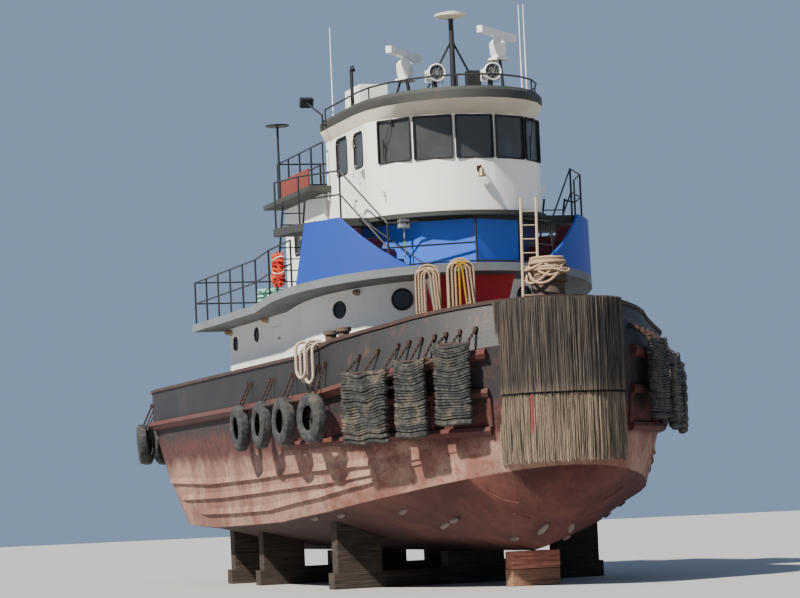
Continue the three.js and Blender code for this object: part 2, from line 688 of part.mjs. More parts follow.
const CABIN = { aft: -1450, fore: 2020, half: 2100 };
const LANDING_DEPTH = 170;
const CABIN_WINDOWS = [-600, 900];
const cabinWalls = block(CABIN.aft, CABIN.fore, -CABIN.half, CABIN.half, 6000, HOUSE_TOP_DECK - 150 - GAP)
  .subtract(
    block(CABIN.aft + PLATE, CABIN.fore - PLATE, -CABIN.half + PLATE, CABIN.half - PLATE, 5900, 9500),
  );
const cabinHoles = CABIN_WINDOWS.map(
  (x) => pullAcross(roundedRect(x, x + 480, 7750, 8350, 90), -3000, 3000),
);
addNode('aft_cabin', cut(cabinWalls, [underBoatDeckTop, ...cabinHoles]), FINISH.white);

// The wheelhouse base is folded from flat plates: a prow on the centreline, knuckles and flat sides
const BASE_AFT = CABIN.fore + GAP;
const BASE = { half: 2050, shoulder: 4790, knuckle: [6200, 1100], prow: 6700 };
function baseOutline(grow, aft) {
  const half = BASE.half + grow;
  const port = [
    [aft, half], [BASE.shoulder + grow * 0.3, half],
    [BASE.knuckle[0] + grow * 0.8, BASE.knuckle[1] + grow * 0.8], [BASE.prow + grow * 1.1, 0],
  ];
  return [...port.slice(0, -1).map(([x, y]) => [x, -y]), ...port.slice().reverse()];
}
const baseWalls = pullUp(baseOutline(0, BASE_AFT), 6000, BRIDGE_DECK_TOP - LANDING_DEPTH - GAP)
  .subtract(pullUp(baseOutline(-PLATE, BASE_AFT + PLATE), 5900, 9500));
addNode('wheelhouse_base', cut(baseWalls, [underBoatDeckTop]), FINISH.blue);

// Bridge deck: the floor of the wheelhouse, with a landing on each side at the head of the stairs

const LANDING = { aft: 3200, fore: 5500, inset: 110 };
const STRIP_DEPTH = 100;
const bridgeStrip = pullUp(
  wheelhouseOutline(100, BASE_AFT), BRIDGE_DECK_TOP - STRIP_DEPTH, BRIDGE_DECK_TOP,
);
const bridgeSeat = pullUp(
  baseOutline(0, BASE_AFT), BRIDGE_DECK_TOP - LANDING_DEPTH, BRIDGE_DECK_TOP - STRIP_DEPTH + 5,
);
const landings = pullUp(
  roundFront(BOAT_DECK_PLAN, LANDING.inset), BRIDGE_DECK_TOP - LANDING_DEPTH, BRIDGE_DECK_TOP,
)
  .intersect(block(LANDING.aft, LANDING.fore, -4000, 4000, 7000, 9000));
addNode('bridge_deck', join([bridgeStrip, bridgeSeat, landings]), FINISH.greyDeck);

// House top: the deck over the aft cabin, with a sloped soffit round it. It runs a little way forward
// along each side of the wheelhouse
const WALL = { aft: 2050, foot: BRIDGE_DECK_TOP + GAP, head: 10100 };
const HOUSE_TOP_REACH = 420;
const HOUSE_TOP_FORE = 2370;
const houseTopRing = (grow, z) => [
  [CABIN.aft - grow, -CABIN.half - grow, z], [HOUSE_TOP_FORE, -CABIN.half - grow, z],
  [HOUSE_TOP_FORE, CABIN.half + grow, z], [CABIN.aft - grow, CABIN.half + grow, z],
];
const wheelhouseSpace = pullUp(wheelhouseOutline(GAP, WALL.aft - GAP), BRIDGE_DECK_TOP, ROOF_TOP);
addNode('house_top', skin([
  houseTopRing(20, HOUSE_TOP_DECK - 150), houseTopRing(HOUSE_TOP_REACH, HOUSE_TOP_DECK - 110),
  houseTopRing(HOUSE_TOP_REACH, HOUSE_TOP_DECK),
]).subtract(wheelhouseSpace), FINISH.greyDeck);

// Curved screen outboard of each stair, standing on the edge of the boat deck and welded to the steps
const SCREEN = { outer: 15, inner: 55 };
const screenSide = [[4200, 6000], [4720, 7960], [5560, 8010], [6560, 6800], [6700, 6000]];
function screen(sign) {
  const wall = pullUp(roundFront(BOAT_DECK_PLAN, SCREEN.outer, 16), 5000, 9000)
    .subtract(pullUp(roundFront(BOAT_DECK_PLAN, SCREEN.inner, 16), 4900, 9100));
  const reach = [sign * 100, sign * 4500].sort((a, b) => a - b);
  return wall.intersect(pullAcross(screenSide, ...reach)).subtract(underBoatDeckTop);
}

// Stairs from the boat deck up to the landings, closed below their treads

const STAIR = { head: [5420, 2560], run: [0.84, -0.54], tread: 245, width: 1500, rise: 235, count: 5 };
function stair(sign) {
  const [runX, runY] = STAIR.run;
  const turn = Math.atan2(sign * runY, runX);
  const steps = Array.from({ length: STAIR.count - 1 }, (_, i) => {
    const along = STAIR.tread * (i + 0.5);
    const top = BRIDGE_DECK_TOP - STAIR.rise * (i + 1);
    const x = STAIR.head[0] + runX * along;
    const y = sign * (STAIR.head[1] + runY * along);
    return box([STAIR.tread + 2, STAIR.width, top - 5500], [x, y, (top + 5500) / 2], turn);
  });
  return join(steps)
    .intersect(pullUp(roundFront(BOAT_DECK_PLAN, SCREEN.inner - 20, 16), 5000, 9000))
    .subtract(pullUp(baseOutline(5, BASE_AFT), 5000, 9000))
    .subtract(block(0, LANDING.fore + 5, -5000, 5000, 5000, 9000))
    .subtract(underBoatDeckTop);
}

for (const [side, sign] of SIDES) addNode(`stair_${side}`, stair(sign).add(screen(sign)), FINISH.maroon);

// Wheelhouse: curved front with five windows, a door and a window in each side, two windows aft

const WINDOW = { sill: 9150, head: 10050, half: 404, pitch: 25.1, count: 5 };
const wheelWalls = pullUp(wheelhouseOutline(0, WALL.aft), WALL.foot, WALL.head)
  .subtract(pullUp(wheelhouseOutline(-PLATE, WALL.aft + PLATE), WALL.foot - 50, WALL.head + 50));
const frontHoles = Array.from({ length: WINDOW.count }, (_, i) => {
  const angle = degrees((i - (WINDOW.count - 1) / 2) * WINDOW.pitch);
  const reach = WHEELHOUSE_RADIUS;
  return box(
    [500, 2 * WINDOW.half, WINDOW.head - WINDOW.sill],
    [WHEELHOUSE_X + reach * Math.cos(angle), reach * Math.sin(angle), (WINDOW.head + WINDOW.sill) / 2],
    angle,
  );
});
const BRIDGE_DOOR = { x0: 4200, x1: 5150, sill: BRIDGE_DECK_TOP + 150, head: 10060 };
const SIDE_WINDOW = { x0: 2900, x1: 3770 };
const sideHoles = [
  pullAcross(roundedRect(SIDE_WINDOW.x0, SIDE_WINDOW.x1, 9200, 10020, 110), -3000, 3000),
  block(BRIDGE_DOOR.x0, BRIDGE_DOOR.x1, -3000, 3000, BRIDGE_DOOR.sill, BRIDGE_DOOR.head),
];
const aftHoles = [-1, 1].map((sign) => {
  const middle = sign * 950;
  return pullForward(
    roundedRect(middle - 380, middle + 380, 9250, 9980, 110), WALL.aft - 200, WALL.aft + 200,
  );
});
addNode('wheelhouse', cut(wheelWalls, [...frontHoles, ...sideHoles, ...aftHoles]), FINISH.white);

for (const [side, sign] of SIDES) {
  const face = WHEELHOUSE_HALF_WIDTH;
  const [y0, y1] = [sign * (face - DOOR.leaf), sign * face].sort((a, b) => a - b);
  const leaf = block(
    BRIDGE_DOOR.x0 + DOOR.clear, BRIDGE_DOOR.x1 - DOOR.clear, y0, y1,
    BRIDGE_DOOR.sill + DOOR.clear, BRIDGE_DOOR.head - DOOR.clear,
  );
  const pane = roundedRect(BRIDGE_DOOR.x0 + 130, BRIDGE_DOOR.x1 - 130, 9200, 9960, 110);
  addNode(`wheelhouse_door_${side}`, leaf.subtract(pullAcross(pane, -3000, 3000)), FINISH.white);
}

// Steering console behind the front windows
addNode('console', block(5750, 6350, -900, 900, WALL.foot, 9050), FINISH.olive);

// Roof: a brow that slopes out from the window heads to a deep fascia, with the locker, gooseneck,
// floodlight arm and whip aerials fixed on it
const FASCIA = { foot: 10340, head: 10520 };
const ROOF_PLAN = { aft: 2000, half: 2100, reach: 2820, inset: 60 };

// Outline of the roof, moved inwards by inset: half an ellipse in front and straight sides back to aft
function roofOutline(inset, steps = 12) {
  const half = ROOF_PLAN.half - inset;
  const front = Array.from({ length: steps + 1 }, (_, i) => {
    const angle = degrees(-90 + (180 * i) / steps);
    return [WHEELHOUSE_X + (ROOF_PLAN.reach - inset) * Math.cos(angle), half * Math.sin(angle)];
  });
  return [[ROOF_PLAN.aft + inset, -half], ...front, [ROOF_PLAN.aft + inset, half]];
}

const atHeight = (outline, z) => outline.map(([x, y]) => [x, y, z]);
const roofShell = skin([
  atHeight(wheelhouseOutline(5, WALL.aft - 5), WALL.head + GAP), atHeight(roofOutline(0), FASCIA.foot),
  atHeight(roofOutline(0), FASCIA.head), atHeight(roofOutline(ROOF_PLAN.inset), ROOF_TOP),
]);
const ROOF_LOCKER = { size: [1200, 650, 620], place: [3050, -1270, ROOF_TOP + 300] };
const GOOSENECK = { x: 4100, y: -1905, top: ROOF_TOP + 840, radius: 42 };
const gooseneck = pipe([
  [GOOSENECK.x, GOOSENECK.y, ROOF_TOP - 20], [GOOSENECK.x, GOOSENECK.y, GOOSENECK.top],
  [GOOSENECK.x + 90, GOOSENECK.y, GOOSENECK.top + 60], [GOOSENECK.x + 190, GOOSENECK.y, GOOSENECK.top - 20],
], GOOSENECK.radius, 8);
const FLOODLIGHT = { foot: [2600, -2200, 10300], head: [2600, -2200, 10650], lamp: [1650, -2300, 11080] };
const floodlight = join([
  bar(FLOODLIGHT.foot, FLOODLIGHT.head, 24, 24, 6),
  bar(
    [FLOODLIGHT.foot[0], 20 - ROOF_PLAN.half, 10430], [FLOODLIGHT.foot[0], FLOODLIGHT.foot[1], 10430], 25,
    25, 6,
  ),
  bar(FLOODLIGHT.head, FLOODLIGHT.lamp, 24, 24, 6),
  box([140, 300, 220], FLOODLIGHT.lamp, 0, degrees(25)),
]);
// Columns: x, y at the foot, lean aft and lean out at the top, height of the top
const WHIPS = [[2450, -1900, 60, 20, 12700], [6500, 1250, 0, 0, 12520], [6550, 1340, 0, 0, 12520]];
const whips = WHIPS.map(
  ([x, y, back, out, top]) => bar([x, y, ROOF_TOP - 20], [x - back, y + out, top], 14, 8, 6),
);
addNode('wheelhouse_roof', join([
  roofShell, box(ROOF_LOCKER.size, ROOF_LOCKER.place), gooseneck, floodlight, ...whips,
]), FINISH.olive);

// Roof gear

const roofEdge = roofOutline(110);
const roofRailHeight = ROOF_TOP + 250;
const roofRailPath = roofEdge.map(([x, y]) => [x, y, roofRailHeight]);
const roofPosts = roofEdge.filter((_, i) => i % 2 === 0)
  .map(([x, y]) => bar([x, y, ROOF_TOP + GAP], [x, y, roofRailHeight], 18, 18, 6));
addNode('roof_rail', join([pipe(roofRailPath, 22), ...roofPosts]), FINISH.railBlack);

const MAST = { x: 5550, radius: 68, top: 12370 };
const mastParts = [
  bar([MAST.x, 0, ROOF_TOP + GAP], [MAST.x, 0, MAST.top], MAST.radius, MAST.radius * 0.8, 12),
  bar([MAST.x, 0, 11900], [MAST.x - 100, -700, ROOF_TOP + 15], 26, 26, 6),
  bar([MAST.x, 0, 11900], [MAST.x - 100, 700, ROOF_TOP + 15], 26, 26, 6),
  turned([[0, 0], [110, 0], [350, 60], [350, 110], [120, 165], [0, 170]], MAST.x, 0, MAST.top - 10),
];
addNode('mast', join(mastParts), FINISH.railBlack);

// Radars, columns: side, x, y, platform height, scanner heading in degrees
const RADARS = [['starboard', 5200, -1000, 11080, -39], ['port', 5500, 1080, 11500, -44]];
const RADAR_FEET = [[-220, -200], [-220, 200], [260, 0]];
const RADAR_CASE = [[0, -50], [230, -50], [230, 0], [120, 0], [175, 90], [190, 330], [110, 420], [0, 420]];
const radarStands = RADARS.flatMap(([, x, y, platform]) => [
  turned(RADAR_CASE, x, y, platform, 14),
  ...RADAR_FEET.map(([dx, dy]) => bar(
    [x + dx * 0.4, y + dy * 0.4, platform - 20], [x + dx, y + dy, ROOF_TOP + 15], 28, 28, 6,
  )),
]);
for (const [side, x, y, platform, heading] of RADARS) {
  addNode(`radar_scanner_${side}`, join([
    box([1800, 130, 150], [x, y, platform + 550], degrees(heading)),
    bar([x, y, platform + 426], [x, y, platform + 500], 70, 70, 12),
  ]), FINISH.white);
}

// Searchlights on posts with a switch box between them, columns: x, y
const SEARCHLIGHTS = [[6200, -650], [6400, 560]];
const SEARCHLIGHT_Z = ROOF_TOP + 440;
const searchlights = SEARCHLIGHTS.flatMap(([x, y]) => [
  bar([x - 170, y, SEARCHLIGHT_Z], [x + 190, y, SEARCHLIGHT_Z], 150, 185, 16),
  bar([x, y, ROOF_TOP + GAP], [x, y, SEARCHLIGHT_Z], 60, 60, 8),
]);
const SWITCH_BOX = { size: [220, 300, 500], place: [6250, 220, ROOF_TOP + 251] };

// Cable pipes on the roof between the feet of the stands and lights
const conduitZ = ROOF_TOP + 32;
const conduit = pipe([
  [SEARCHLIGHTS[1][0], SEARCHLIGHTS[1][1], conduitZ], [SWITCH_BOX.place[0], SWITCH_BOX.place[1], conduitZ],
  [SEARCHLIGHTS[0][0], SEARCHLIGHTS[0][1], conduitZ], [RADARS[0][1] + 260, RADARS[0][2], conduitZ],
], 24);
const radarConduit = pipe([
  [RADARS[1][1] + 260, RADARS[1][2], conduitZ], [SEARCHLIGHTS[1][0], SEARCHLIGHTS[1][1], conduitZ],
], 24);
const standFeet = RADARS.flatMap(([, x, y]) => [0, 1].map((i) => {
  const [dx, dy] = RADAR_FEET[i];
  return bar([x + dx, y + dy, conduitZ], [x + 260, y, conduitZ], 20, 20, 6);
}));
addNode('roof_gear', join([
  ...radarStands, ...searchlights, box(SWITCH_BOX.size, SWITCH_BOX.place),
  conduit, radarConduit, ...standFeet,
]), FINISH.steelGrey);

// Rails on the boat deck: two bars on posts, from one stair screen round the aft end to the other

const RAIL = { inset: 90, mid: 520, top: 1040, bar: 20, post: 24 };

// Half breadth of the boat deck at x, moved in from its edge
function boatDeckHalf(x, inset) {
  const { bowStart, bowEnd, half } = BOAT_DECK_PLAN;
  const along = Math.max(0, x - bowStart) / (bowEnd - inset - bowStart);
  return (half - inset) * Math.sqrt(1 - along ** 2);
}

// Where the edge of the boat deck, moved in, lies at a half breadth y
function boatDeckFront(y, inset) {
  const { bowStart, bowEnd, half } = BOAT_DECK_PLAN;
  return bowStart + (bowEnd - inset - bowStart) * Math.sqrt(1 - (y / (half - inset)) ** 2);
}

const spread = (from, to, count) => Array.from(
  { length: count }, (_, i) => from + ((to - from) * i) / (count - 1),
);

// Bars at some heights over a run of [x, y] points, with a post at each; foot gives the deck's height at x
function railing(run, heights, foot, radius = RAIL.bar) {
  const bars = heights.map((height) => pipe(run.map(([x, y]) => [x, y, foot(x) + height]), radius));
  const top = Math.max(...heights);
  const posts = run.map(
    ([x, y]) => bar([x, y, foot(x) - 40], [x, y, foot(x) + top], RAIL.post, RAIL.post, 5),
  );
  return join([...bars, ...posts]);
}

const sideRun = spread(4100, BOAT_DECK_PLAN.aft + RAIL.inset, 8).map(
  (x) => [x, boatDeckHalf(x, RAIL.inset)],
);
const aftHalf = BOAT_DECK_PLAN.half - RAIL.inset;
const aftRun = spread(-aftHalf, aftHalf, 7).slice(1, -1).map((y) => [BOAT_DECK_PLAN.aft + RAIL.inset, y]);
addNode('boat_deck_rail', railing(
  [...sideRun.map(([x, y]) => [x, -y]), ...aftRun, ...sideRun.slice().reverse()],
  [RAIL.mid, RAIL.top], boatDeckTop,
).subtract(underBoatDeckTop), FINISH.railBlack);

// Front rail: along the front edge, up over both stairs, round the landings, and a ladder aft of each

const FRONT_RAIL = { mid: 450, top: 980, toe: 45, half: 1870 };
// Half breadths of the posts: on the starboard side, then on the port side
const FRONT_POSTS = [[-FRONT_RAIL.half, -60], [1050, FRONT_RAIL.half]];
const onFront = (y) => [boatDeckFront(y, RAIL.inset), y];
const LANDING_RAIL = { inset: 170, stations: [5440, 4350, 3260] };
const FOOT_LADDER = { head: [3170, 8620], foot: [2180, 6400], inner: 2850, outer: 3350, rungs: 8 };

function landingRail(sign) {
  const run = LANDING_RAIL.stations.map((x) => [x, sign * boatDeckHalf(x, LANDING_RAIL.inset)]);
  return railing(run, [RAIL.mid, RAIL.top], () => BRIDGE_DECK_TOP)
    .subtract(block(-14000, 14000, -5000, 5000, 6000, BRIDGE_DECK_TOP + GAP));
}

function stairHandrails(sign) {
  const [x0, y0] = [
    LANDING_RAIL.stations[0], sign * boatDeckHalf(LANDING_RAIL.stations[0], LANDING_RAIL.inset),
  ];
  const [x1, y1] = onFront(sign * FRONT_RAIL.half);
  const heights = [[RAIL.top, FRONT_RAIL.top], [RAIL.mid, FRONT_RAIL.mid]];
  const bars = heights.map(([high, low]) => bar(
    [x0, y0, BRIDGE_DECK_TOP + high], [x1, y1, boatDeckTop(x1) + low], RAIL.bar, RAIL.bar, 6,
  ));
  const brace = bar(
    [(x0 + x1) / 2, (y0 + y1) / 2, (BRIDGE_DECK_TOP + RAIL.mid + boatDeckTop(x1) + FRONT_RAIL.mid) / 2],
    [...onFront(sign * 1200), boatDeckTop(onFront(1200)[0]) + FRONT_RAIL.toe], 16, 16, 6,
  );
  return join([...bars, brace]);
}

function footLadder(sign) {
  const { head, foot, inner, outer, rungs } = FOOT_LADDER;
  const stringers = [inner, outer].map(
    (y) => bar([head[0], sign * y, head[1]], [foot[0], sign * y, foot[1]], 26, 26, 6),
  );
  const steps = Array.from({ length: rungs }, (_, i) => {
    const t = (i + 1) / (rungs + 1);
    const [x, z] = [head[0] + (foot[0] - head[0]) * t, head[1] + (foot[1] - head[1]) * t];
    return bar([x, sign * inner, z], [x, sign * outer, z], 14, 14, 6);
  });
  const x = LANDING_RAIL.stations[2];
  const stay = bar(
    [head[0], sign * outer, head[1] - 30],
    [x, sign * boatDeckHalf(x, LANDING_RAIL.inset), BRIDGE_DECK_TOP + RAIL.mid], 20, 20, 6,
  );
  return join([...stringers, ...steps, stay]);
}

const toeBar = pipe(
  spread(-FRONT_RAIL.half, FRONT_RAIL.half, 9)
    .map((y) => [...onFront(y), boatDeckTop(onFront(y)[0]) + FRONT_RAIL.toe]),
  RAIL.bar,
);
const frontRails = FRONT_POSTS.map(
  (posts) => railing(posts.map(onFront), [FRONT_RAIL.mid, FRONT_RAIL.top], boatDeckTop),
);
addNode('front_rail', join([
  toeBar, ...frontRails,
  ...SIDES.flatMap(([, sign]) => [stairHandrails(sign), landingRail(sign), footLadder(sign)]),
]).subtract(underBoatDeckTop), FINISH.railBlack);

// Rail round the house top, with a blank name board on each side and an aerial pole with its flat dish

const TOP_RAIL = { mid: 500, top: 1000, half: 2140, fore: 2300, aft: -1810 };
const NAME_BOARD = {
  x0: -1380, x1: 1120, z0: HOUSE_TOP_DECK + 50, z1: HOUSE_TOP_DECK + 540, out: 10, thickness: 35,
};
const topSide = spread(TOP_RAIL.fore, TOP_RAIL.aft, 5).map((x) => [x, TOP_RAIL.half]);
const topAft = spread(-TOP_RAIL.half, TOP_RAIL.half, 5).slice(1, -1).map((y) => [TOP_RAIL.aft, y]);
const nameBoards = SIDES.map(([, sign]) => {
  const back = TOP_RAIL.half + NAME_BOARD.out;
  const reach = [back, back + NAME_BOARD.thickness].map((y) => y * sign);
  return block(
    NAME_BOARD.x0, NAME_BOARD.x1, Math.min(...reach), Math.max(...reach), NAME_BOARD.z0, NAME_BOARD.z1,
  );
});
const DISH_POLE = { x: -1450, y: -2200, top: 10960, radius: 30 };
const dishPole = join([
  bar(
    [DISH_POLE.x, DISH_POLE.y, HOUSE_TOP_DECK + GAP], [DISH_POLE.x, DISH_POLE.y, DISH_POLE.top],
    DISH_POLE.radius, DISH_POLE.radius, 8,
  ),
  turned([[0, 0], [280, 0], [300, 30], [0, 70]], DISH_POLE.x, DISH_POLE.y, DISH_POLE.top - 10, 16),
  bar(
    [DISH_POLE.x, DISH_POLE.y, HOUSE_TOP_DECK + TOP_RAIL.mid],
    [DISH_POLE.x, -TOP_RAIL.half, HOUSE_TOP_DECK + TOP_RAIL.mid], 16, 16, 6,
  ),
]);
addNode('house_top_rail', join([
  railing(
    [...topSide.map(([x, y]) => [x, -y]), ...topAft, ...topSide.slice().reverse()],
    [TOP_RAIL.mid, TOP_RAIL.top], () => HOUSE_TOP_DECK,
  ).subtract(block(-14000, 14000, -5000, 5000, 8000, HOUSE_TOP_DECK + GAP)),
  ...nameBoards, dishPole,
]), FINISH.railBlack);

// Funnel behind the aft cabin, open at the top round its two exhaust pipes

const FUNNEL = { aft: -2850, fore: -2050, half: 400, top: 10250, well: 9850, wall: 40, corner: 240 };
const funnelPlan = (inset) => roundedRect(
  FUNNEL.aft + inset, FUNNEL.fore - inset, -FUNNEL.half + inset, FUNNEL.half - inset,
  FUNNEL.corner - inset, 3,
);
const exhausts = [0.3, 0.7].map((share) => {
  const x = FUNNEL.aft + (FUNNEL.fore - FUNNEL.aft) * share;
  return bar([x, 0, FUNNEL.well - 10], [x, 0, FUNNEL.top + 150], 95, 95, 12);
});
addNode('funnel', join([
  pullUp(funnelPlan(0), BOAT_DECK_HEIGHT + GAP, FUNNEL.top).subtract(
    pullUp(funnelPlan(FUNNEL.wall), FUNNEL.well, FUNNEL.top + 100),
  ),
  pullUp(funnelPlan(-25), FUNNEL.top - 260, FUNNEL.top - 200).subtract(
    pullUp(funnelPlan(FUNNEL.wall / 2), FUNNEL.top - 270, FUNNEL.top),
  ),
  ...exhausts,
]), FINISH.railBlack);

// Deck gear. Everything on the deck is cut to its sheer

const underDeck = pullAcross([
  [DECK_PLAN.sternEnd, 3000], ...deckSteps.map(({ x }) => [x, deckHeight(x) + GAP]),
  [DECK_PLAN.bowEnd, 3000],
], -5000, 5000);

// Twin bitts on each side of the foredeck
const SIDE_BITTS = {
  stations: [6500, 7500], y: 3300, radius: 125, cap: 165, top: 5500, reach: 250, half: 220,
};
for (const [side, sign] of SIDES) {
  const { stations: [aft, fore], y, radius, cap, top, reach, half } = SIDE_BITTS;
  const posts = [aft, fore].flatMap((x) => [
    bar([x, sign * y, DECK_HEIGHT - 60], [x, sign * y, top], radius, radius, 16),
    bar([x, sign * y, top - 90], [x, sign * y, top], cap, cap, 16),
  ]);
  addNode(`side_bitts_${side}`, join([
    block(aft - reach, fore + reach, sign * y - half, sign * y + half, DECK_HEIGHT - 60, DECK_HEIGHT + 110),
    bar([aft, sign * y, top - 620], [fore, sign * y, top - 620], 60, 60, 8), ...posts,
  ]).subtract(underDeck), FINISH.rustyRed);
}

// Bow bitt: one fat post with a flange and a rimmed head
const BOW_BITT = { x: 11030, foot: 4540, top: 6190 };
const bowBittProfile = [
  [0, 0], [480, 0], [480, 260], [340, 270], [340, 1530], [400, 1530], [400, 1650], [0, 1650],
];
addNode(
  'bow_bitt', turned(bowBittProfile, BOW_BITT.x, 0, BOW_BITT.foot, 24).subtract(underDeck), FINISH.rustyRed,
);

// Ladder from the foredeck up to the bridge deck
const BOW_LADDER = { foot: [8320, 545, 4220], head: [6840, 1150, 8250], half: 175, rungs: 12 };
const ladderPoint = (t, across) => BOW_LADDER.foot.map(
  (from, k) => from + (BOW_LADDER.head[k] - from) * t + (k === 1 ? across : 0),
);
const bowLadderSides = [-1, 1].map((sign) => bar(
  ladderPoint(0, sign * BOW_LADDER.half), ladderPoint(1, sign * BOW_LADDER.half), 30, 30, 6,
));
const bowLadderRungs = Array.from({ length: BOW_LADDER.rungs }, (_, i) => {
  const t = (i + 1) / (BOW_LADDER.rungs + 1);
  return bar(ladderPoint(t, -BOW_LADDER.half), ladderPoint(t, BOW_LADDER.half), 14, 14, 6);
});
addNode('bow_ladder', join([...bowLadderSides, ...bowLadderRungs]).subtract(underDeck), FINISH.steelGrey);

// Aft deck: towing bitts, hatch coaming and capstan base on one doubler plate welded to the deck
const DOUBLER = { aft: -9550, fore: -5900, half: 520, thickness: 12 };
const TOWING_BITTS = { x: -6250, spacing: 600, radius: 150, top: 5350, beam: 4950 };
const HATCH = {
  x: -7500, y: 1500, half: 350, wall: 40, head: DECK_HEIGHT + 300, leaf: 50, lip: 35, clear: 6,
};
const CAPSTAN = { x: -9000, base: 430, seat: DECK_HEIGHT + 240, top: DECK_HEIGHT + 900 };
const towingBitts = [-1, 1].flatMap((sign) => [
  bar(
    [TOWING_BITTS.x, sign * TOWING_BITTS.spacing, DECK_HEIGHT + GAP],
    [TOWING_BITTS.x, sign * TOWING_BITTS.spacing, TOWING_BITTS.top], TOWING_BITTS.radius,
    TOWING_BITTS.radius, 16,
  ),
  bar(
    [TOWING_BITTS.x, sign * TOWING_BITTS.spacing, TOWING_BITTS.top - 80],
    [TOWING_BITTS.x, sign * TOWING_BITTS.spacing, TOWING_BITTS.top], 190, 190, 16,
  ),
]);
const towingBeam = bar(
  [TOWING_BITTS.x, -1000, TOWING_BITTS.beam], [TOWING_BITTS.x, 1000, TOWING_BITTS.beam], 110, 110, 14,
);
const hatchSquare = (half, z0, z1) => block(
  HATCH.x - half, HATCH.x + half, HATCH.y - half, HATCH.y + half, z0, z1,
);
const coaming = hatchSquare(HATCH.half, DECK_HEIGHT + GAP, HATCH.head)
  .subtract(hatchSquare(HATCH.half - HATCH.wall, DECK_HEIGHT - 100, HATCH.head + 100));
const hatchStep = block(
  HATCH.x - 200, HATCH.x + 200, 480, HATCH.y - HATCH.half + 5, DECK_HEIGHT + GAP,
  DECK_HEIGHT + DOUBLER.thickness,
);
const capstanBase = turned(
  [[0, 0], [CAPSTAN.base, 0], [CAPSTAN.base, 60], [330, 90], [300, 240], [0, 240]],
  CAPSTAN.x, 0, DECK_HEIGHT + GAP, 24,
);
addNode('aft_deck_fittings', join([
  block(
    DOUBLER.aft, DOUBLER.fore, -DOUBLER.half, DOUBLER.half, DECK_HEIGHT + GAP,
    DECK_HEIGHT + DOUBLER.thickness,
  ),
  ...towingBitts, towingBeam, coaming, hatchStep, capstanBase,
]), FINISH.rustyRed);

addNode(
  'hatch_lid',
  hatchSquare(HATCH.half + HATCH.lip, HATCH.head + HATCH.clear, HATCH.head + HATCH.clear + HATCH.leaf),
  FINISH.greyDeck,
);
addNode('capstan', turned([
  [0, 10], [330, 10], [330, 60], [225, 130], [205, 400], [300, 600], [300, 660], [0, 660],
], CAPSTAN.x, 0, CAPSTAN.seat, 24), FINISH.rustyRed);

// Ropes and soft gear, each as one closed outline

// Upright slab with round ends, standing across the direction of turn
function hank([x, y], turn, width, foot, head, thickness) {
  const outline = roundedRect(-width / 2, width / 2, foot, head, width * 0.45, 3);
  const shape = new THREE.Shape(outline.map(([u, v]) => new THREE.Vector2(u, v)));
  const geometry = new THREE.ExtrudeGeometry(shape, { depth: thickness, bevelEnabled: false });
  geometry.translate(0, 0, -thickness / 2);
  geometry.rotateX(Math.PI / 2);
  geometry.rotateZ(Math.PI / 2 + turn);
  geometry.translate(x, y, 0);
  return solidOf(geometry);
}

// Mooring ropes hung in hanks over the toe bar at the front of the boat deck.
// Columns: name, x, y, turn in degrees, width, foot, head
const HANKS = [['aft', 6860, -1210, -20, 560, 5480, 6900], ['fore', 7050, -530, -8, 620, 5500, 7010]];
const HANK_THICKNESS = 210;
for (const [place, x, y, turn, width, foot, head] of HANKS) {
  addNode(
    `rope_hank_${place}`, hank([x, y], degrees(turn), width, foot, head, HANK_THICKNESS), FINISH.rope,
  );
}

// Bow line heaped on the head of the bow bitt
const bowLineProfile = [[0, 0], [400, 0], [450, 120], [400, 300], [250, 480], [0, 560]];
addNode('bow_line', turned(bowLineProfile, BOW_BITT.x, 0, BOW_BITT.top + GAP, 20), FINISH.rope);

// Hawser laid from the starboard bitts over the cap rail, hanging outboard
const HAWSER = { x: 7020, width: 620, inner: -330, outer: 230, thickness: 150, foot: 4290 };
function hawser() {
  const edge = deckEdge(HAWSER.x, -1);
  const top = bulwarkTop(HAWSER.x + HAWSER.width / 2) + 95;
  const { inner, outer, thickness, foot } = HAWSER;
  const outline = [
    [inner, top], [inner, top + thickness * 0.8], [outer - 60, top + thickness],
    [outer, top + thickness - 70],
    [outer, foot], [outer - thickness, foot], [outer - thickness, top],
  ];
  const shape = new THREE.Shape(outline.map(([out, z]) => new THREE.Vector2(out, z)));
  const geometry = new THREE.ExtrudeGeometry(shape, { depth: HAWSER.width, bevelEnabled: false });
  geometry.translate(0, 0, -HAWSER.width / 2);
  geometry.rotateX(Math.PI / 2);
  geometry.rotateZ(edge.turn);
  geometry.translate(edge.x, edge.y, 0);
  return solidOf(geometry);
}
addNode('hawser', hawser(), FINISH.rope);

// Coil of green rope on the boat deck, and the orange net hung over the starboard rail
const DECK_COIL = { x: 1200, y: -3200 };
const deckCoilProfile = [
  [150, 0], [370, 0], [380, 90], [350, 300], [290, 410], [200, 400], [150, 250], [150, 0],
];
addNode(
  'deck_coil', turned(deckCoilProfile, DECK_COIL.x, DECK_COIL.y, BOAT_DECK_HEIGHT + GAP, 24), FINISH.green,
);

const NET = { x: 3720, y: -3668, turn: -81.4, width: 700, foot: 6612, head: 7490, thickness: 200 };
addNode(
  'rescue_net', hank([NET.x, NET.y], degrees(NET.turn), NET.width, NET.foot, NET.head, NET.thickness),
  FINISH.orange,
);

export default boat;
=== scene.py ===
"""Harbour tug on keel and bilge blocks: finishes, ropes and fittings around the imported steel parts.

Metres, +X to the bow, +Y to port, +Z up, with the ground at Z = 0 and X = 0 amidships.
"""

import json
import math
import random

import bmesh
import bpy
from mathutils import Matrix, Vector
from mathutils.bvhtree import BVHTree


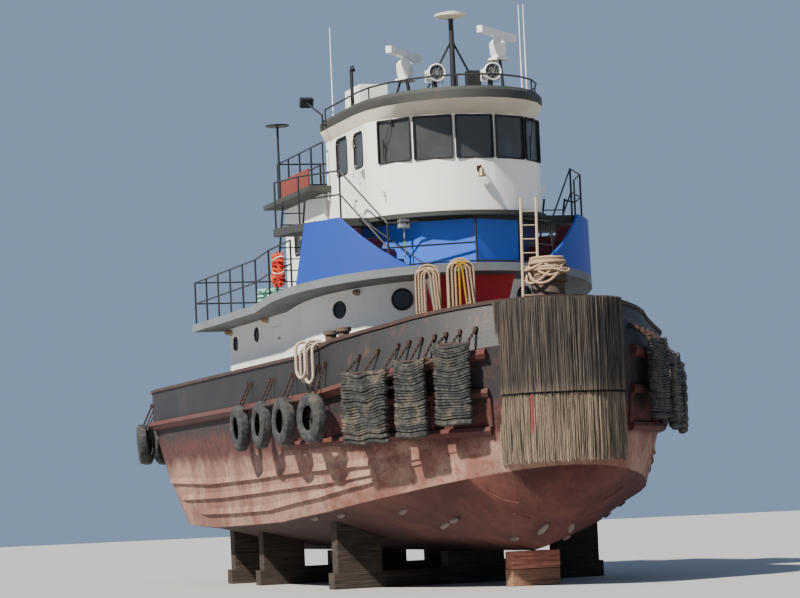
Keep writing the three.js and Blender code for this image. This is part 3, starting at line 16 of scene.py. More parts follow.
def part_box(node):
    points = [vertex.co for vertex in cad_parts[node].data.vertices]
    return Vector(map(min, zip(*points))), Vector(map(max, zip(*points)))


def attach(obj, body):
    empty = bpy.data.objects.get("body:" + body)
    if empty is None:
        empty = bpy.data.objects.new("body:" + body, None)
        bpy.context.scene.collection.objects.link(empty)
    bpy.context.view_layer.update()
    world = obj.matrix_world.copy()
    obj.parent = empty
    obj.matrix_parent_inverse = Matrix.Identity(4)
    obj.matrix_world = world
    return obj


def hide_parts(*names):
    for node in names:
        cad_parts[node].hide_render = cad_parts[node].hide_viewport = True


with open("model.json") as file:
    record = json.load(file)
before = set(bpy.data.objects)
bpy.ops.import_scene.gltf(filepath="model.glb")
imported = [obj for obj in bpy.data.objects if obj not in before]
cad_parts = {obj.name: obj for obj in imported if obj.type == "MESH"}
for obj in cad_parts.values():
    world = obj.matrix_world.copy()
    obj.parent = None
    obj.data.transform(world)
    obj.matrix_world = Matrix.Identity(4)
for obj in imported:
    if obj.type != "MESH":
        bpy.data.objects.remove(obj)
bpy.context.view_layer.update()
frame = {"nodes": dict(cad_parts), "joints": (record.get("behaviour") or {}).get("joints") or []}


# Camera. It stands on the ground ahead of the tug, off the bow to starboard, and looks slightly up,
# rolled a little as the photograph is. Bearing, pitch and roll are in degrees, the lens in millimetres.
CAMERA = {
    "bearing": 17, "distance": 64, "aside": 1.148, "eye": 1.75, "pitch": 4.063, "roll": 2.5,
    "lens": 130.5, "sensor": 36, "clip_end": 500,
}
BELOW_WHEELHOUSE = Vector((4.75, 0, 0))
UP = Vector((0, 0, 1))

bearing, pitch, roll = (math.radians(CAMERA[angle]) for angle in ("bearing", "pitch", "roll"))
ahead = Vector((-math.cos(bearing), math.sin(bearing), 0))
right = Vector((math.sin(bearing), math.cos(bearing), 0))
forward = ahead * math.cos(pitch) + UP * math.sin(pitch)
upward = UP * math.cos(pitch) - ahead * math.sin(pitch)
camera_x = right * math.cos(roll) - upward * math.sin(roll)
camera_y = upward * math.cos(roll) + right * math.sin(roll)
camera_data = bpy.data.cameras.new("camera")
camera_data.sensor_width = CAMERA["sensor"]
camera_data.lens = CAMERA["lens"]
camera_data.clip_end = CAMERA["clip_end"]
camera = bpy.data.objects.new("camera", camera_data)
camera.matrix_world = Matrix((camera_x, camera_y, -forward)).transposed().to_4x4()
camera.location = BELOW_WHEELHOUSE - ahead * CAMERA["distance"] - right * CAMERA["aside"]
camera.location.z = CAMERA["eye"]
bpy.context.scene.collection.objects.link(camera)
bpy.context.scene.camera = camera


# Light and floor. A soft sun high over the starboard bow, a pale sky and a plain pale floor.
SUN = {"toward": (0.34, -0.6, 0.725), "strength": 9.2, "spread": 2.0, "color": (1.0, 0.94, 0.85)}
SKY = {"color": (0.46, 0.65, 0.96), "strength": 0.5}
FLOOR = {"half": 140, "height": -0.002}
SQUARE = [(-1, -1), (1, -1), (1, 1), (-1, 1)]

sun_data = bpy.data.lights.new("sun", "SUN")
sun_data.energy = SUN["strength"]
sun_data.angle = math.radians(SUN["spread"])
sun_data.color = SUN["color"]
sun = bpy.data.objects.new("sun", sun_data)
sun.rotation_mode = "QUATERNION"
sun.rotation_quaternion = Vector(SUN["toward"]).to_track_quat("Z", "Y")
bpy.context.scene.collection.objects.link(sun)
world = bpy.data.worlds.new("sky")
bpy.context.scene.world = world
world.use_nodes = True
sky = world.node_tree.nodes["Background"]
sky.inputs["Color"].default_value = (*SKY["color"], 1)
sky.inputs["Strength"].default_value = SKY["strength"]


class Value:
    """A shader socket that adds, subtracts, multiplies and divides like a number."""

    def __init__(self, paint, socket):
        self.paint = paint
        self.socket = socket

    def __add__(self, other):
        return self.paint.math("ADD", self, other)

    def __sub__(self, other):
        return self.paint.math("SUBTRACT", self, other)

    def __mul__(self, other):
        return self.paint.math("MULTIPLY", self, other)

    def __truediv__(self, other):
        return self.paint.math("DIVIDE", self, other)

    def __abs__(self):
        return self.paint.math("ABSOLUTE", self)

    __radd__ = __add__


class Paint:
    """One material's node tree, written as expressions. x, y, z and place are in the row frame."""

    def __init__(self, name):
        self.material = bpy.data.materials.new(name)
        self.material.use_nodes = True
        self.tree = self.material.node_tree
        self.shader = self.tree.nodes["Principled BSDF"]
        self.place = Value(self, self.node("TexCoord").outputs["Object"])
        parts = self.node("SeparateXYZ", {}, self.place).outputs
        self.x, self.y, self.z = (Value(self, parts[axis]) for axis in "XYZ")

    def feed(self, node, key, value):
        """Links a Value to an input, or sets the input to a number, a vector or a colour."""
        entry = node.inputs[key]
        if isinstance(value, Value):
            self.tree.links.new(value.socket, entry)
        else:
            entry.default_value = (*value, 1) if entry.type == "RGBA" else value

    def node(self, kind, settings=None, *inputs, **named):
        made = self.tree.nodes.new("ShaderNode" + kind)
        for key, value in (settings or {}).items():
            setattr(made, key, value)
        for key, value in [*enumerate(inputs), *named.items()]:
            self.feed(made, key, value)
        return made

    def math(self, operation, *inputs):
        return Value(self, self.node("Math", {"operation": operation}, *inputs).outputs[0])

    def noise(self, scale, detail=3.0, rough=0.55, stretch=None, distort=0.0):
        """Noise from 0 to 1. Stretch holds how much finer it is along each axis."""
        at = self.place
        if stretch:
            at = Value(self, self.node("VectorMath", {"operation": "MULTIPLY"}, at, stretch).outputs[0])
        inputs = {"Scale": scale, "Detail": detail, "Roughness": rough, "Distortion": distort}
        return Value(self, self.node("TexNoise", {}, at, **inputs).outputs[0])

    def step(self, value, low, high):
        """0 below low and 1 above high, smooth between them."""
        made = self.node("MapRange", {"interpolation_type": "SMOOTHSTEP"}, value, low, high)
        return Value(self, made.outputs[0])

    def mix(self, factor, a, b):
        made = self.node("Mix", {"data_type": "RGBA"})
        for key, value in ((0, factor), (6, a), (7, b)):
            self.feed(made, key, value)
        return Value(self, made.outputs[2])

    def spread(self, color, over, pattern, low, high, share=1.0):
        """A colour with another over it where a pattern goes from low to high."""
        return self.mix(self.step(pattern, low, high) * share, color, over)

    def done(self, color, rough, bump=None, depth=0.01, metal=0.0):
        for key, value in (("Base Color", color), ("Roughness", rough), ("Metallic", metal)):
            self.feed(self.shader, key, value)
        if bump is not None:
            made = self.node("Bump", {}, Strength=1.0, Distance=depth, Height=bump)
            self.tree.links.new(made.outputs[0], self.shader.inputs["Normal"])
        return self.material


def floor_finish():
    paint = Paint("floor")
    grain = paint.noise(0.8) * 0.5 + paint.noise(9, 2) * 0.5
    return paint.done(paint.mix(grain, (0.36, 0.35, 0.34), (0.42, 0.41, 0.4)), 0.9)


floor_mesh = bpy.data.meshes.new("floor")
floor_mesh.from_pydata(
    [(x * FLOOR["half"], y * FLOOR["half"], FLOOR["height"]) for x, y in SQUARE], [], [(0, 1, 2, 3)],
)
floor_mesh.materials.append(floor_finish())
floor = bpy.data.objects.new("floor", floor_mesh)
bpy.context.scene.collection.objects.link(floor)


# Ropes. Thick three-strand mooring rope, tan with age, each modelled at its real length with its own
# laid strands: two hanks over the toe bar, the bow line heaped on its bitt, the hawser over the side
# and a green rope coiled on the boat deck.
def circle(radius, sides, u, v):
    """Points of a circle about the origin, from the direction u round to v."""
    angles = [math.tau * k / sides for k in range(sides)]
    return [radius * (math.cos(angle) * u + math.sin(angle) * v) for angle in angles]


def heading(angle):
    """The level direction at an angle from the bow, turning to port."""
    return Vector((math.cos(angle), math.sin(angle), 0))


def left_of(out):
    return Vector((-out.y, out.x, 0))


def soften(piece, width, angle):
    """Rounds the edges that are sharper than an angle in degrees."""
    soft = piece.modifiers.new("soft", "BEVEL")
    soft.width = width
    soft.segments = 2
    soft.limit_method = "ANGLE"
    soft.angle_limit = math.radians(angle)
    return soft


class Shape:
    """The points and faces of one piece, gathered part by part. A part's mark picks its material."""

    def __init__(self):
        self.points = []
        self.faces = []
        self.marks = []

    def rings(self, rings, mark=0, loop=False):
        """A skin through rings of equal length, closed at both ends or into a loop."""
        count, base = len(rings[0]), len(self.points)
        self.points += [point for ring in rings for point in ring]
        faces = []
        for i in range(len(rings) if loop else len(rings) - 1):
            j = (i + 1) % len(rings)
            for k in range(count):
                after = (k + 1) % count
                faces.append((i * count + k, i * count + after, j * count + after, j * count + k))
        if not loop:
            faces.append(tuple(reversed(range(count))))
            faces.append(tuple((len(rings) - 1) * count + k for k in range(count)))
        self.faces += [tuple(base + k for k in face) for face in faces]
        self.marks += [mark] * len(faces)

    def turned(self, profile, base, axis, sides=16, mark=0, loop=False):
        """A turned form from (radius, height) pairs, about an axis that starts at base."""
        axis = axis.normalized()
        side = axis.orthogonal().normalized()
        up = axis.cross(side)
        self.rings([
            [base + axis * height + point for point in circle(radius, sides, side, up)]
            for radius, height in profile
        ], mark, loop)

    def rod(self, start, end, radius, sides=8, mark=0, end_radius=None):
        length = (end - start).length
        self.turned([(radius, 0), (end_radius or radius, length)], start, end - start, sides, mark)

    def box(self, centre, along, across, up, mark=0):
        """A block from its centre and its three half-size vectors."""
        self.rings([[centre + along * u + across * v + up * w for u, v in SQUARE] for w in (-1, 1)], mark)

    def pipe(self, line, radius, sides=8, mark=0, loop=False):
        """A bent bar through the points of a line."""
        rings, normal = [], None
        last = len(line) - 1
        for i, point in enumerate(line):
            after = line[(i + 1) % len(line)] if loop else line[min(i + 1, last)]
            before = line[i - 1] if loop or i else line[0]
            along = (after - before).normalized()
            normal = along.orthogonal() if normal is None else normal - along * normal.dot(along)
            normal.normalize()
            rings.append([point + offset for offset in circle(radius, sides, normal, along.cross(normal))])
        self.rings(rings, mark, loop)

    def piece(self, name, materials, body="root", slot=None, nodes=(), edge=0.0, smooth=35):
        """Makes the object. Folds of over smooth degrees stay sharp; edge is how wide they are rounded."""
        mesh = bpy.data.meshes.new(name)
        mesh.from_pydata(self.points, [], self.faces)
        for material in materials:
            mesh.materials.append(material)
        for face, mark in zip(mesh.polygons, self.marks):
            face.material_index = mark
        work = bmesh.new()
        work.from_mesh(mesh)
        bmesh.ops.recalc_face_normals(work, faces=work.faces)
        work.to_mesh(mesh)
        work.free()
        mesh.shade_smooth()
        mesh.set_sharp_from_angle(angle=math.radians(smooth))
        piece = bpy.data.objects.new(name, mesh)
        bpy.context.scene.collection.objects.link(piece)
        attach(piece, body)
        if nodes:
            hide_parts(*nodes)
        if edge:
            soften(piece, edge, 40)
        return piece


def rope_finish(name, light, dark):
    paint = Paint(name)
    fuzz = paint.noise(60, 4, 0.7)
    color = paint.mix(fuzz, dark, light)
    stained = paint.spread(color, tuple(c * 0.62 for c in light), paint.noise(2.2, 4), 0.42, 0.68, 0.55)
    return paint.done(stained, 0.95, fuzz, 0.006)


def smooth_path(points, spacing, samples=12):
    """Points of a Catmull-Rom curve through some points, evenly spaced."""
    ends = [2 * points[0] - points[1], *points, 2 * points[-1] - points[-2]]
    fine = []
    for before, start, end, after in zip(ends, ends[1:], ends[2:], ends[3:]):
        for k in range(samples):
            t = k / samples
            fine.append(0.5 * (
                2 * start + (end - before) * t + (2 * before - 5 * start + 4 * end - after) * t ** 2
                + (3 * start - before - 3 * end + after) * t ** 3
            ))
    return evenly([*fine, points[-1]], spacing)


def evenly(line, spacing):
    """The same line as points a spacing apart."""
    lengths = [0.0]
    for a, b in zip(line, line[1:]):
        lengths.append(lengths[-1] + (b - a).length)
    count = max(2, round(lengths[-1] / spacing))
    points, k = [], 0
    for i in range(count + 1):
        along = lengths[-1] * i / count
        while k < len(line) - 2 and lengths[k + 1] < along:
            k += 1
        share = (along - lengths[k]) / max(1e-9, lengths[k + 1] - lengths[k])
        points.append(line[k].lerp(line[k + 1], min(1.0, share)))
    return points


ROPE_FORM = {"strands": 3, "lay": 0.19, "sides": 12, "core": 0.76, "lobe": 0.27}
ROPE_STEP = 0.022


def rope(name, line, diameter, material, node):
    """A laid rope along a line: a lobed section that turns once each lay length."""
    rings, turn, last = [], 0.0, line[0]
    normal = Vector((0.31, 0.57, 0.76))
    for i, point in enumerate(line):
        along = (line[min(i + 1, len(line) - 1)] - line[max(i - 1, 0)]).normalized()
        normal = (normal - along * normal.dot(along)).normalized()
        side = along.cross(normal)
        turn += (point - last).length / ROPE_FORM["lay"] * math.tau
        last = point
        ring = []
        for k in range(ROPE_FORM["sides"]):
            angle = math.tau * k / ROPE_FORM["sides"]
            lobe = ROPE_FORM["lobe"] * math.sqrt(abs(math.cos(ROPE_FORM["strands"] * angle / 2)))
            reach = diameter / 2 * (ROPE_FORM["core"] + lobe)
            ring.append(point + reach * (math.cos(angle + turn) * normal + math.sin(angle + turn) * side))
        rings.append(ring)
    shape = Shape()
    shape.rings(rings)
    piece = shape.piece(name, [material], slot="rope", nodes=[node], smooth=180)
    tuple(line[0])
    sum((b - a).length for a, b in zip(line, line[1:]))
    return piece


ROPE_TAN = rope_finish("rope_tan", (0.56, 0.4, 0.27), (0.2, 0.12, 0.07))
ROPE_YELLOW = rope_finish("rope_yellow", (0.58, 0.33, 0.03), (0.2, 0.1, 0.01))
ROPE_PALE = rope_finish("rope_pale", (0.66, 0.56, 0.43), (0.34, 0.26, 0.18))
ROPE_GREEN = rope_finish("rope_green", (0.42, 0.78, 0.62), (0.2, 0.45, 0.36))

# Columns: name, x, y, turn in degrees, top and foot of the straight runs, has a yellow length
HANKS = [("aft", 6.86, -1.21, -20, 6.58, 5.80, False), ("fore", 7.05, -0.53, -8, 6.68, 5.82, True)]
HANK = {"rope": 0.05, "fold": 0.158, "nested": 0.055, "layer": 0.056, "wide": 0.28, "narrow": 0.252}
YELLOW_LENGTH = {"depth": 0.03, "half": 0.1}


def hank_line(place, across, out, head, foot, widest):
    """Nested upright loops in a back and a middle layer, then a front layer that fills the middle."""
    rng = random.Random(7)
    fold, side = HANK["fold"], widest - HANK["fold"]
    nested = [radius for radius in (widest - HANK["nested"] * k for k in range(3)) if radius >= fold]
    # Columns of a layer: depth, then the radius and the sideways shift of each loop
    layers = [
        (-HANK["layer"], [(radius, 0.0) for radius in nested]),
        (0.0, [(radius, 0.01) for radius in nested[::-1]]),
        (HANK["layer"], [(fold, side), (fold, side / 3), (fold, -side / 3), (fold, -side)]),
    ]
    line = []
    for depth, loops in layers:
        for radius, shift in loops:
            sway = shift + rng.uniform(-0.006, 0.006)
            lift = rng.uniform(-0.03, 0.03)
            for centre, start in ((head + lift, 0), (foot - lift, math.pi)):
                for k in range(9):
                    angle = start + math.pi * k / 8
                    offset = across * (radius * math.cos(angle) + sway) + out * depth
                    line.append(place + UP * centre + offset + UP * (radius * math.sin(angle)))
    return evenly(line, ROPE_STEP)


for name, x, y, turn, head, foot, has_yellow in HANKS:
    place, out = Vector((x, y, 0)), heading(math.radians(turn))
    across = left_of(out)
    widest = HANK["wide"] if has_yellow else HANK["narrow"]
    line = smooth_path(hank_line(place, across, out, head, foot, widest)[::4], ROPE_STEP)
    hank = rope(f"mooring_rope_{name}", line, HANK["rope"], ROPE_TAN, f"rope_hank_{name}")
    if has_yellow:
        hank.data.materials.append(ROPE_YELLOW)
        for face in hank.data.polygons:
            offset = face.center - place
            if offset.dot(out) > YELLOW_LENGTH["depth"] and abs(offset.dot(across)) < YELLOW_LENGTH["half"]:
                face.material_index = 1

def around(centre, reach, angle, rise):
    """A point round an upright line through a centre."""
    x, y, z = centre
    return Vector((x + reach * math.cos(angle), y + reach * math.sin(angle), z + rise))


BOW_LINE = {"centre": (11.03, 0, 6.19), "rope": 0.06, "droop_start": 2.44}
# Columns: radius and height of each turn above the head of the bitt
BOW_TURNS = [
    (0.39, 0.035), (0.33, 0.035), (0.27, 0.05), (0.36, 0.1), (0.41, 0.12), (0.38, 0.18), (0.31, 0.15),
    (0.25, 0.13), (0.34, 0.24), (0.37, 0.28), (0.3, 0.3), (0.24, 0.24), (0.3, 0.3), (0.36, 0.3),
    (0.32, 0.36), (0.26, 0.38),
]
# Turns that slip over the head of the bitt on one side, columns: radius, height, droop, its bearing
BOW_DROOPS = [
    (0.4, 0.3, 0.3, -0.2), (0.44, 0.27, 0.42, -1.1), (0.42, 0.32, 0.26, 0.5), (0.46, 0.29, 0.45, -0.6),
    (0.41, 0.33, 0.2, -1.5),
]
bow_points = []
heap_rng = random.Random(3)
for (radius, height), (next_radius, next_height) in zip(BOW_TURNS, BOW_TURNS[1:]):
    tilt, lean = heap_rng.uniform(-0.03, 0.03), heap_rng.uniform(0, math.tau)
    for k in range(12):
        share = k / 12
        angle = math.tau * share
        reach = radius + (next_radius - radius) * share
        rise = height + (next_height - height) * share + tilt * math.sin(angle) * math.cos(lean)
        bow_points.append(around(BOW_LINE["centre"], reach, angle, max(0.034, rise)))
for k in range(5):
    angle = BOW_LINE["droop_start"] * k / 5
    bow_points.append(around(BOW_LINE["centre"], 0.26 + 0.004 * k, angle, 0.38 - 0.016 * k))
for radius, height, droop, droop_bearing in BOW_DROOPS:
    for k in range(16):
        angle = BOW_LINE["droop_start"] + math.tau * k / 16
        low = max(0.0, math.cos(angle - droop_bearing)) ** 2
        reach = radius - 0.12 * (1 - low) + 0.05 * low
        bow_points.append(around(BOW_LINE["centre"], reach, angle, height - droop * low))
rope("bow_rope", smooth_path(bow_points, ROPE_STEP), BOW_LINE["rope"], ROPE_TAN, "bow_line")

HAWSER = {"edge": Vector((7.02, -3.86, 0)), "turn": -76.6, "inboard": -0.16, "bend": 0.155, "rope": 0.07}
# The hawser goes over the rail and back in three bights. Columns: place along the side of the first and
# the last run, how far out it hangs, height of its lowest point, height over the rail
HAWSER_BIGHTS = [
    (-0.3, 0.0, 0.13, 4.42, 5.15), (0.31, -0.02, 0.175, 4.38, 5.2), (-0.33, 0.08, 0.22, 4.5, 5.25),
]
hawser_route = []
for i, (first, last, out, low, over) in enumerate(HAWSER_BIGHTS):
    middle, half = (first + last) / 2, abs(last - first) / 2
    bend = [math.radians(angle) for angle in (90, 60, 30, 0)]
    down = [
        (out - HAWSER["bend"] * (1 - math.cos(t)), over - HAWSER["bend"] * (1 - math.sin(t))) for t in bend
    ]
    hawser_route += [(first, HAWSER["inboard"], over), *((first, *point) for point in down)]
    for angle in range(0, 181, 30):
        t = math.radians(angle)
        hawser_route.append((middle + (first - middle) * math.cos(t), out, low + half - half * math.sin(t)))
    hawser_route += [*((last, *point) for point in down[::-1]), (last, HAWSER["inboard"], over)]
    if i < len(HAWSER_BIGHTS) - 1:
        after, next_over = HAWSER_BIGHTS[i + 1][0], HAWSER_BIGHTS[i + 1][4]
        for angle in (30, 60, 90, 120, 150):
            t = math.radians(angle)
            turned = (last + after) / 2 + (last - after) / 2 * math.cos(t)
            height = over + (next_over - over) * angle / 180
            hawser_route.append((turned, HAWSER["inboard"] - abs(after - last) / 2 * math.sin(t), height))
away = heading(math.radians(HAWSER["turn"]))
hawser_points = [
    HAWSER["edge"] + UP * height + away * out + left_of(away) * along for along, out, height in hawser_route
]
rope("hawser_rope", smooth_path(hawser_points, ROPE_STEP), HAWSER["rope"], ROPE_PALE, "hawser")

DECK_COIL = {"foot": (1.2, -3.2, 6.43), "rope": 0.05, "inner": 0.175, "turns": 4, "layers": 8}
coil_points = []
for layer in range(DECK_COIL["layers"]):
    outermost = DECK_COIL["turns"] - 1
    for turn_index in range(DECK_COIL["turns"]):
        is_outward = layer % 2 == 0
        order = turn_index if is_outward else outermost - turn_index
        for k in range(16):
            drift = k / 16 if is_outward else -k / 16
            reach = DECK_COIL["inner"] + DECK_COIL["rope"] * min(outermost, max(0, order + drift))
            rise = DECK_COIL["rope"] * (0.55 + 0.98 * layer)
            coil_points.append(around(DECK_COIL["foot"], reach, math.tau * k / 16, rise))
rope("deck_rope", smooth_path(coil_points, 0.04), DECK_COIL["rope"], ROPE_GREEN, "deck_coil")


# Painted steel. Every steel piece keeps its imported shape, with softened edges, and is painted in thick
# coats that have chalked, chipped and run with rust. Colours are given as they look, from 0 to 255.
def tint(red, green, blue):
    def linear(level):
        share = level / 255
        return share / 12.92 if share <= 0.04045 else ((share + 0.055) / 1.055) ** 2.4
    return linear(red), linear(green), linear(blue)


RUST = tint(120, 62, 40)
DARK_RUST = tint(66, 36, 28)
GRIME = tint(70, 66, 60)


def painted(name, base, rust, dirt, chips, rough, metal=0.0):
    """Old paint: uneven, with dirt in patches, rust runs down the plate and small chips."""
    paint = Paint(name)
    grain = paint.noise(30, 4, 0.6)
    patches = paint.noise(0.8, 5, 0.6)
    runs = paint.step(paint.noise(1, 5, 0.65, (8, 8, 0.5)), 0.54, 0.72)
    color = paint.spread(tint(*base), GRIME, patches, 0.35, 0.8, dirt)
    color = paint.mix(runs * paint.step(patches, 0.4, 0.6) * rust, color, RUST)
    color = paint.spread(color, DARK_RUST, paint.noise(19, 6, 0.75), 0.64, 0.7, chips)
    return paint.done(color, rough + grain * 0.25, grain, 0.002, metal)


SAME_POINT = 0.0002
FLAT = math.radians(1)
CREASE = math.radians(26)


def coat(nodes, *materials, edge=0.006, pick=None):
    """Gives packed steel nodes their finish and softens their edges; pick chooses a face's material."""
    for node in nodes:
        piece = frame["nodes"][node]
        piece.data.materials.clear()
        for material in materials:
            piece.data.materials.append(material)
        if pick:
            for face in piece.data.polygons:
                face.material_index = pick(piece.matrix_world @ face.center, face.normal)
        if "custom_normal" in piece.data.attributes:
            piece.data.attributes.remove(piece.data.attributes["custom_normal"])
        piece.data.shade_smooth()
        piece.modifiers.new("joined", "WELD").merge_threshold = SAME_POINT
        if edge:
            plain = piece.modifiers.new("plain", "DECIMATE")
            plain.decimate_type = "DISSOLVE"
            plain.angle_limit = FLAT
            plain.delimit = {"MATERIAL"}
            soften(piece, edge, 35).harden_normals = True
        else:
            piece.modifiers.new("creases", "EDGE_SPLIT").split_angle = CREASE


# Each line gives the colour, then how much rust, dirt and chips, then the roughness
WHITE = painted("white_paint", (247, 243, 235), 0.16, 0.07, 0.22, 0.42)
BLACK = painted("black_paint", (32, 32, 34), 0.3, 0.2, 0.5, 0.5)
RED_OXIDE = painted("red_oxide", (80, 40, 36), 0.5, 0.5, 0.7, 0.75)
BITT_RUST = painted("bitt_rust", (92, 74, 64), 0.4, 0.4, 0.6, 0.75)
LADDER_TAN = painted("ladder_tan", (178, 156, 130), 0.1, 0.3, 0.2, 0.7)
IRON = painted("rusty_iron", (56, 38, 34), 0.6, 0.4, 0.6, 0.8)
BLUE = painted("blue_paint", (20, 64, 158), 0.06, 0.08, 0.22, 0.42)
# The base is the screens' blue paint made lighter, painted sunlight under the bridge deck's shadow, with a
# darker copy for its port end, painted shade
SUNLIT_PAINTED_BLUE = painted("painted_sunlit_blue", (46, 104, 212), 0.06, 0.08, 0.22, 0.42)
SHADE_PAINTED_BLUE = painted("painted_shade_blue", (30, 54, 112), 0.06, 0.1, 0.2, 0.45)
MAROON = painted("maroon_paint", (112, 30, 38), 0.25, 0.2, 0.35, 0.5)
# The flare's red is brightened, painted sunlight, since the boat deck shades the flare
PAINTED_SUNLIT_FLARE = painted("flare_red_painted_sunlight", (214, 44, 56), 0.2, 0.15, 0.35, 0.5)
GREY = painted("deck_grey", (112, 118, 122), 0.5, 0.4, 0.5, 0.7)
OLIVE = painted("olive_grey", (50, 53, 49), 0.2, 0.3, 0.3, 0.6)
CREAM = painted("cream_paint", (212, 202, 184), 0.2, 0.15, 0.25, 0.5)
RAIL = painted("rail_black", (26, 27, 30), 0.25, 0.2, 0.4, 0.4)
STEEL = painted("bare_steel", (120, 118, 112), 0.6, 0.4, 0.6, 0.5)
BRONZE = painted("bronze", (150, 118, 66), 0.2, 0.5, 0.3, 0.35, metal=0.8)
BROWN = painted("brown_paint", (98, 66, 50), 0.5, 0.4, 0.7, 0.7)
BOARD_BROWN = painted("board_brown", (122, 54, 44), 0.1, 0.1, 0.2, 0.5)
WHITE_PLASTIC = painted("white_plastic", (236, 234, 228), 0.03, 0.12, 0.0, 0.3)

# Where the curved edge of the boat deck starts and ends, and its half width
BOAT_DECK = {"start": 2.85, "end": 6.9, "half": 3.75}
RADAR_CASES = [(5.2, -1.0, 11.02), (5.5, 1.08, 11.44)]
SEARCHLIGHTS = [(6.2, -0.65), (6.4, 0.56)]


def stair_face(place, normal):
    """0 maroon, 1 the blue outer skin of the screen, which follows the boat deck's edge, 2 grey treads."""
    length = BOAT_DECK["end"] - BOAT_DECK["start"]
    share = max(0.0, place.x - BOAT_DECK["start"]) / length
    edge = BOAT_DECK["half"] * math.sqrt(max(0.0, 1 - share ** 2))
    outward = Vector((share / length, place.y / BOAT_DECK["half"] ** 2, 0)).normalized()
    if abs(place.y) > edge - 0.24 and normal.dot(outward) > 0.5:
        return 1
    return 2 if normal.z > 0.7 and place.z < 7.95 and abs(place.y) < 3.0 else 0


def base_face(place, normal):
    """1 the port end of the wheelhouse's base, in a darker blue that is painted shade on the side away from
    the sun.
    """
    return int(normal.y > 0.5 and place.x > 4.0)


def flare_face(place, normal):
    """1 the red flare of the house wall under the bridge, in a red brightened as painted sunlight."""
    return int(place.x > 5.55 and abs(place.y) < 0.96 and place.z > 5.1 and normal.x > 0.3)


def roof_face(place, normal):
    """0 top and fascia, 1 brow, 2 black pipe and lamp, 3 white locker and aerials."""
    if place.y < -2.11 or (place.z > 10.63 and 4.0 < place.x < 4.4 and place.y < -1.8):
        return 2
    if place.z > 10.62:
        return 3
    return 0 if place.z > 10.335 else 1


def mast_face(place, normal):
    """1 what stands out from the pole at its head, in cream."""
    return int(place.z > 12.3 and Vector((place.x - 5.55, place.y)).length > 0.09)


def gear_face(place, normal):
    """0 white cases of the radars and searchlights, 1 dark legs, conduit and switch box."""
    def is_near(x, y):
        return Vector((place.x - x, place.y - y)).length < 0.3
    is_switch_box = abs(place.x - 6.25) < 0.12 and abs(place.y - 0.22) < 0.16
    if any(place.z > bottom and is_near(x, y) for x, y, bottom in RADAR_CASES):
        return 0
    return int(is_switch_box or place.z <= 10.84 or not any(is_near(x, y) for x, y in SEARCHLIGHTS))


def board_face(place, normal):
    """1 the blank name boards on the house-top rail, which are brown."""
    return int(2.148 < abs(place.y) < 2.19 and -1.39 < place.x < 1.13 and 9.12 < place.z < 9.63)


# Columns: x, height of the chine
CHINE = [
    (-11.35, 2.75), (-9.95, 2.45), (-8.05, 1.88), (-6.75, 1.48), (-3.25, 1.4), (2.75, 1.48),
    (6.05, 1.67), (7.95, 1.86), (9.25, 2.0), (10.95, 2.23), (12.0, 2.4),
]


def topside_finish():
    """Side plates worn to grey-brown, a red band and black above them, and the red-brown bottom, darkened as
    painted shade and darkest aft of the sunlit bow.
    """
    paint = Paint("hull_side")
    patches = paint.noise(0.9, 6, 0.65)
    fine = paint.noise(7, 6, 0.7)
    crust = paint.noise(26, 6, 0.7)
    runs = paint.noise(1, 5, 0.65, (5, 5, 0.35))
    worn = paint.spread(tint(154, 122, 106), tint(124, 84, 72), patches, 0.4, 0.62)
    worn = paint.spread(worn, tint(118, 48, 44), fine, 0.5, 0.68, 0.7)
    worn = paint.spread(worn, tint(104, 72, 62), runs, 0.52, 0.66, 0.4)
    worn = paint.spread(worn, tint(70, 36, 32), crust, 0.6, 0.7, 0.6)
    red = paint.spread(tint(86, 44, 40), tint(58, 28, 26), fine, 0.42, 0.62)
    worn = paint.spread(worn, red, paint.z + (patches - 0.5) * 0.7, 2.75, 3.2)
    dark = paint.spread(tint(38, 35, 36), tint(74, 44, 40), fine, 0.45, 0.7)
    side = paint.spread(worn, dark, paint.z + (runs - 0.5) * 0.9 + (fine - 0.5) * 0.2, 3.45, 3.75)
    # The bottom's maroon paint is darkened further as painted shade under the hull, and more so aft of x 9.5,
    # painted shade behind the sunlit forefoot
    bottom = paint.spread(tint(72, 36, 32), tint(104, 58, 49), patches, 0.35, 0.7)
    bottom = paint.spread(bottom, tint(40, 22, 20), paint.x + (patches - 0.5) * 2, 9.5, 5.5, 0.75)
    bottom = paint.spread(bottom, tint(62, 26, 26), fine, 0.5, 0.7, 0.5)
    bottom = paint.spread(bottom, tint(44, 24, 23), crust, 0.62, 0.72, 0.5)
    chine = CHINE[0][1]
    for (x0, z0), (x1, z1) in zip(CHINE, CHINE[1:]):
        share = paint.math("MINIMUM", paint.math("MAXIMUM", (paint.x - x0) / (x1 - x0), 0), 1)
        chine = share * (z1 - z0) + chine
    color = paint.spread(side, bottom, chine - paint.z, -0.015, 0.015)
    return paint.done(color, 0.85, fine + patches + crust * 0.4, 0.012)


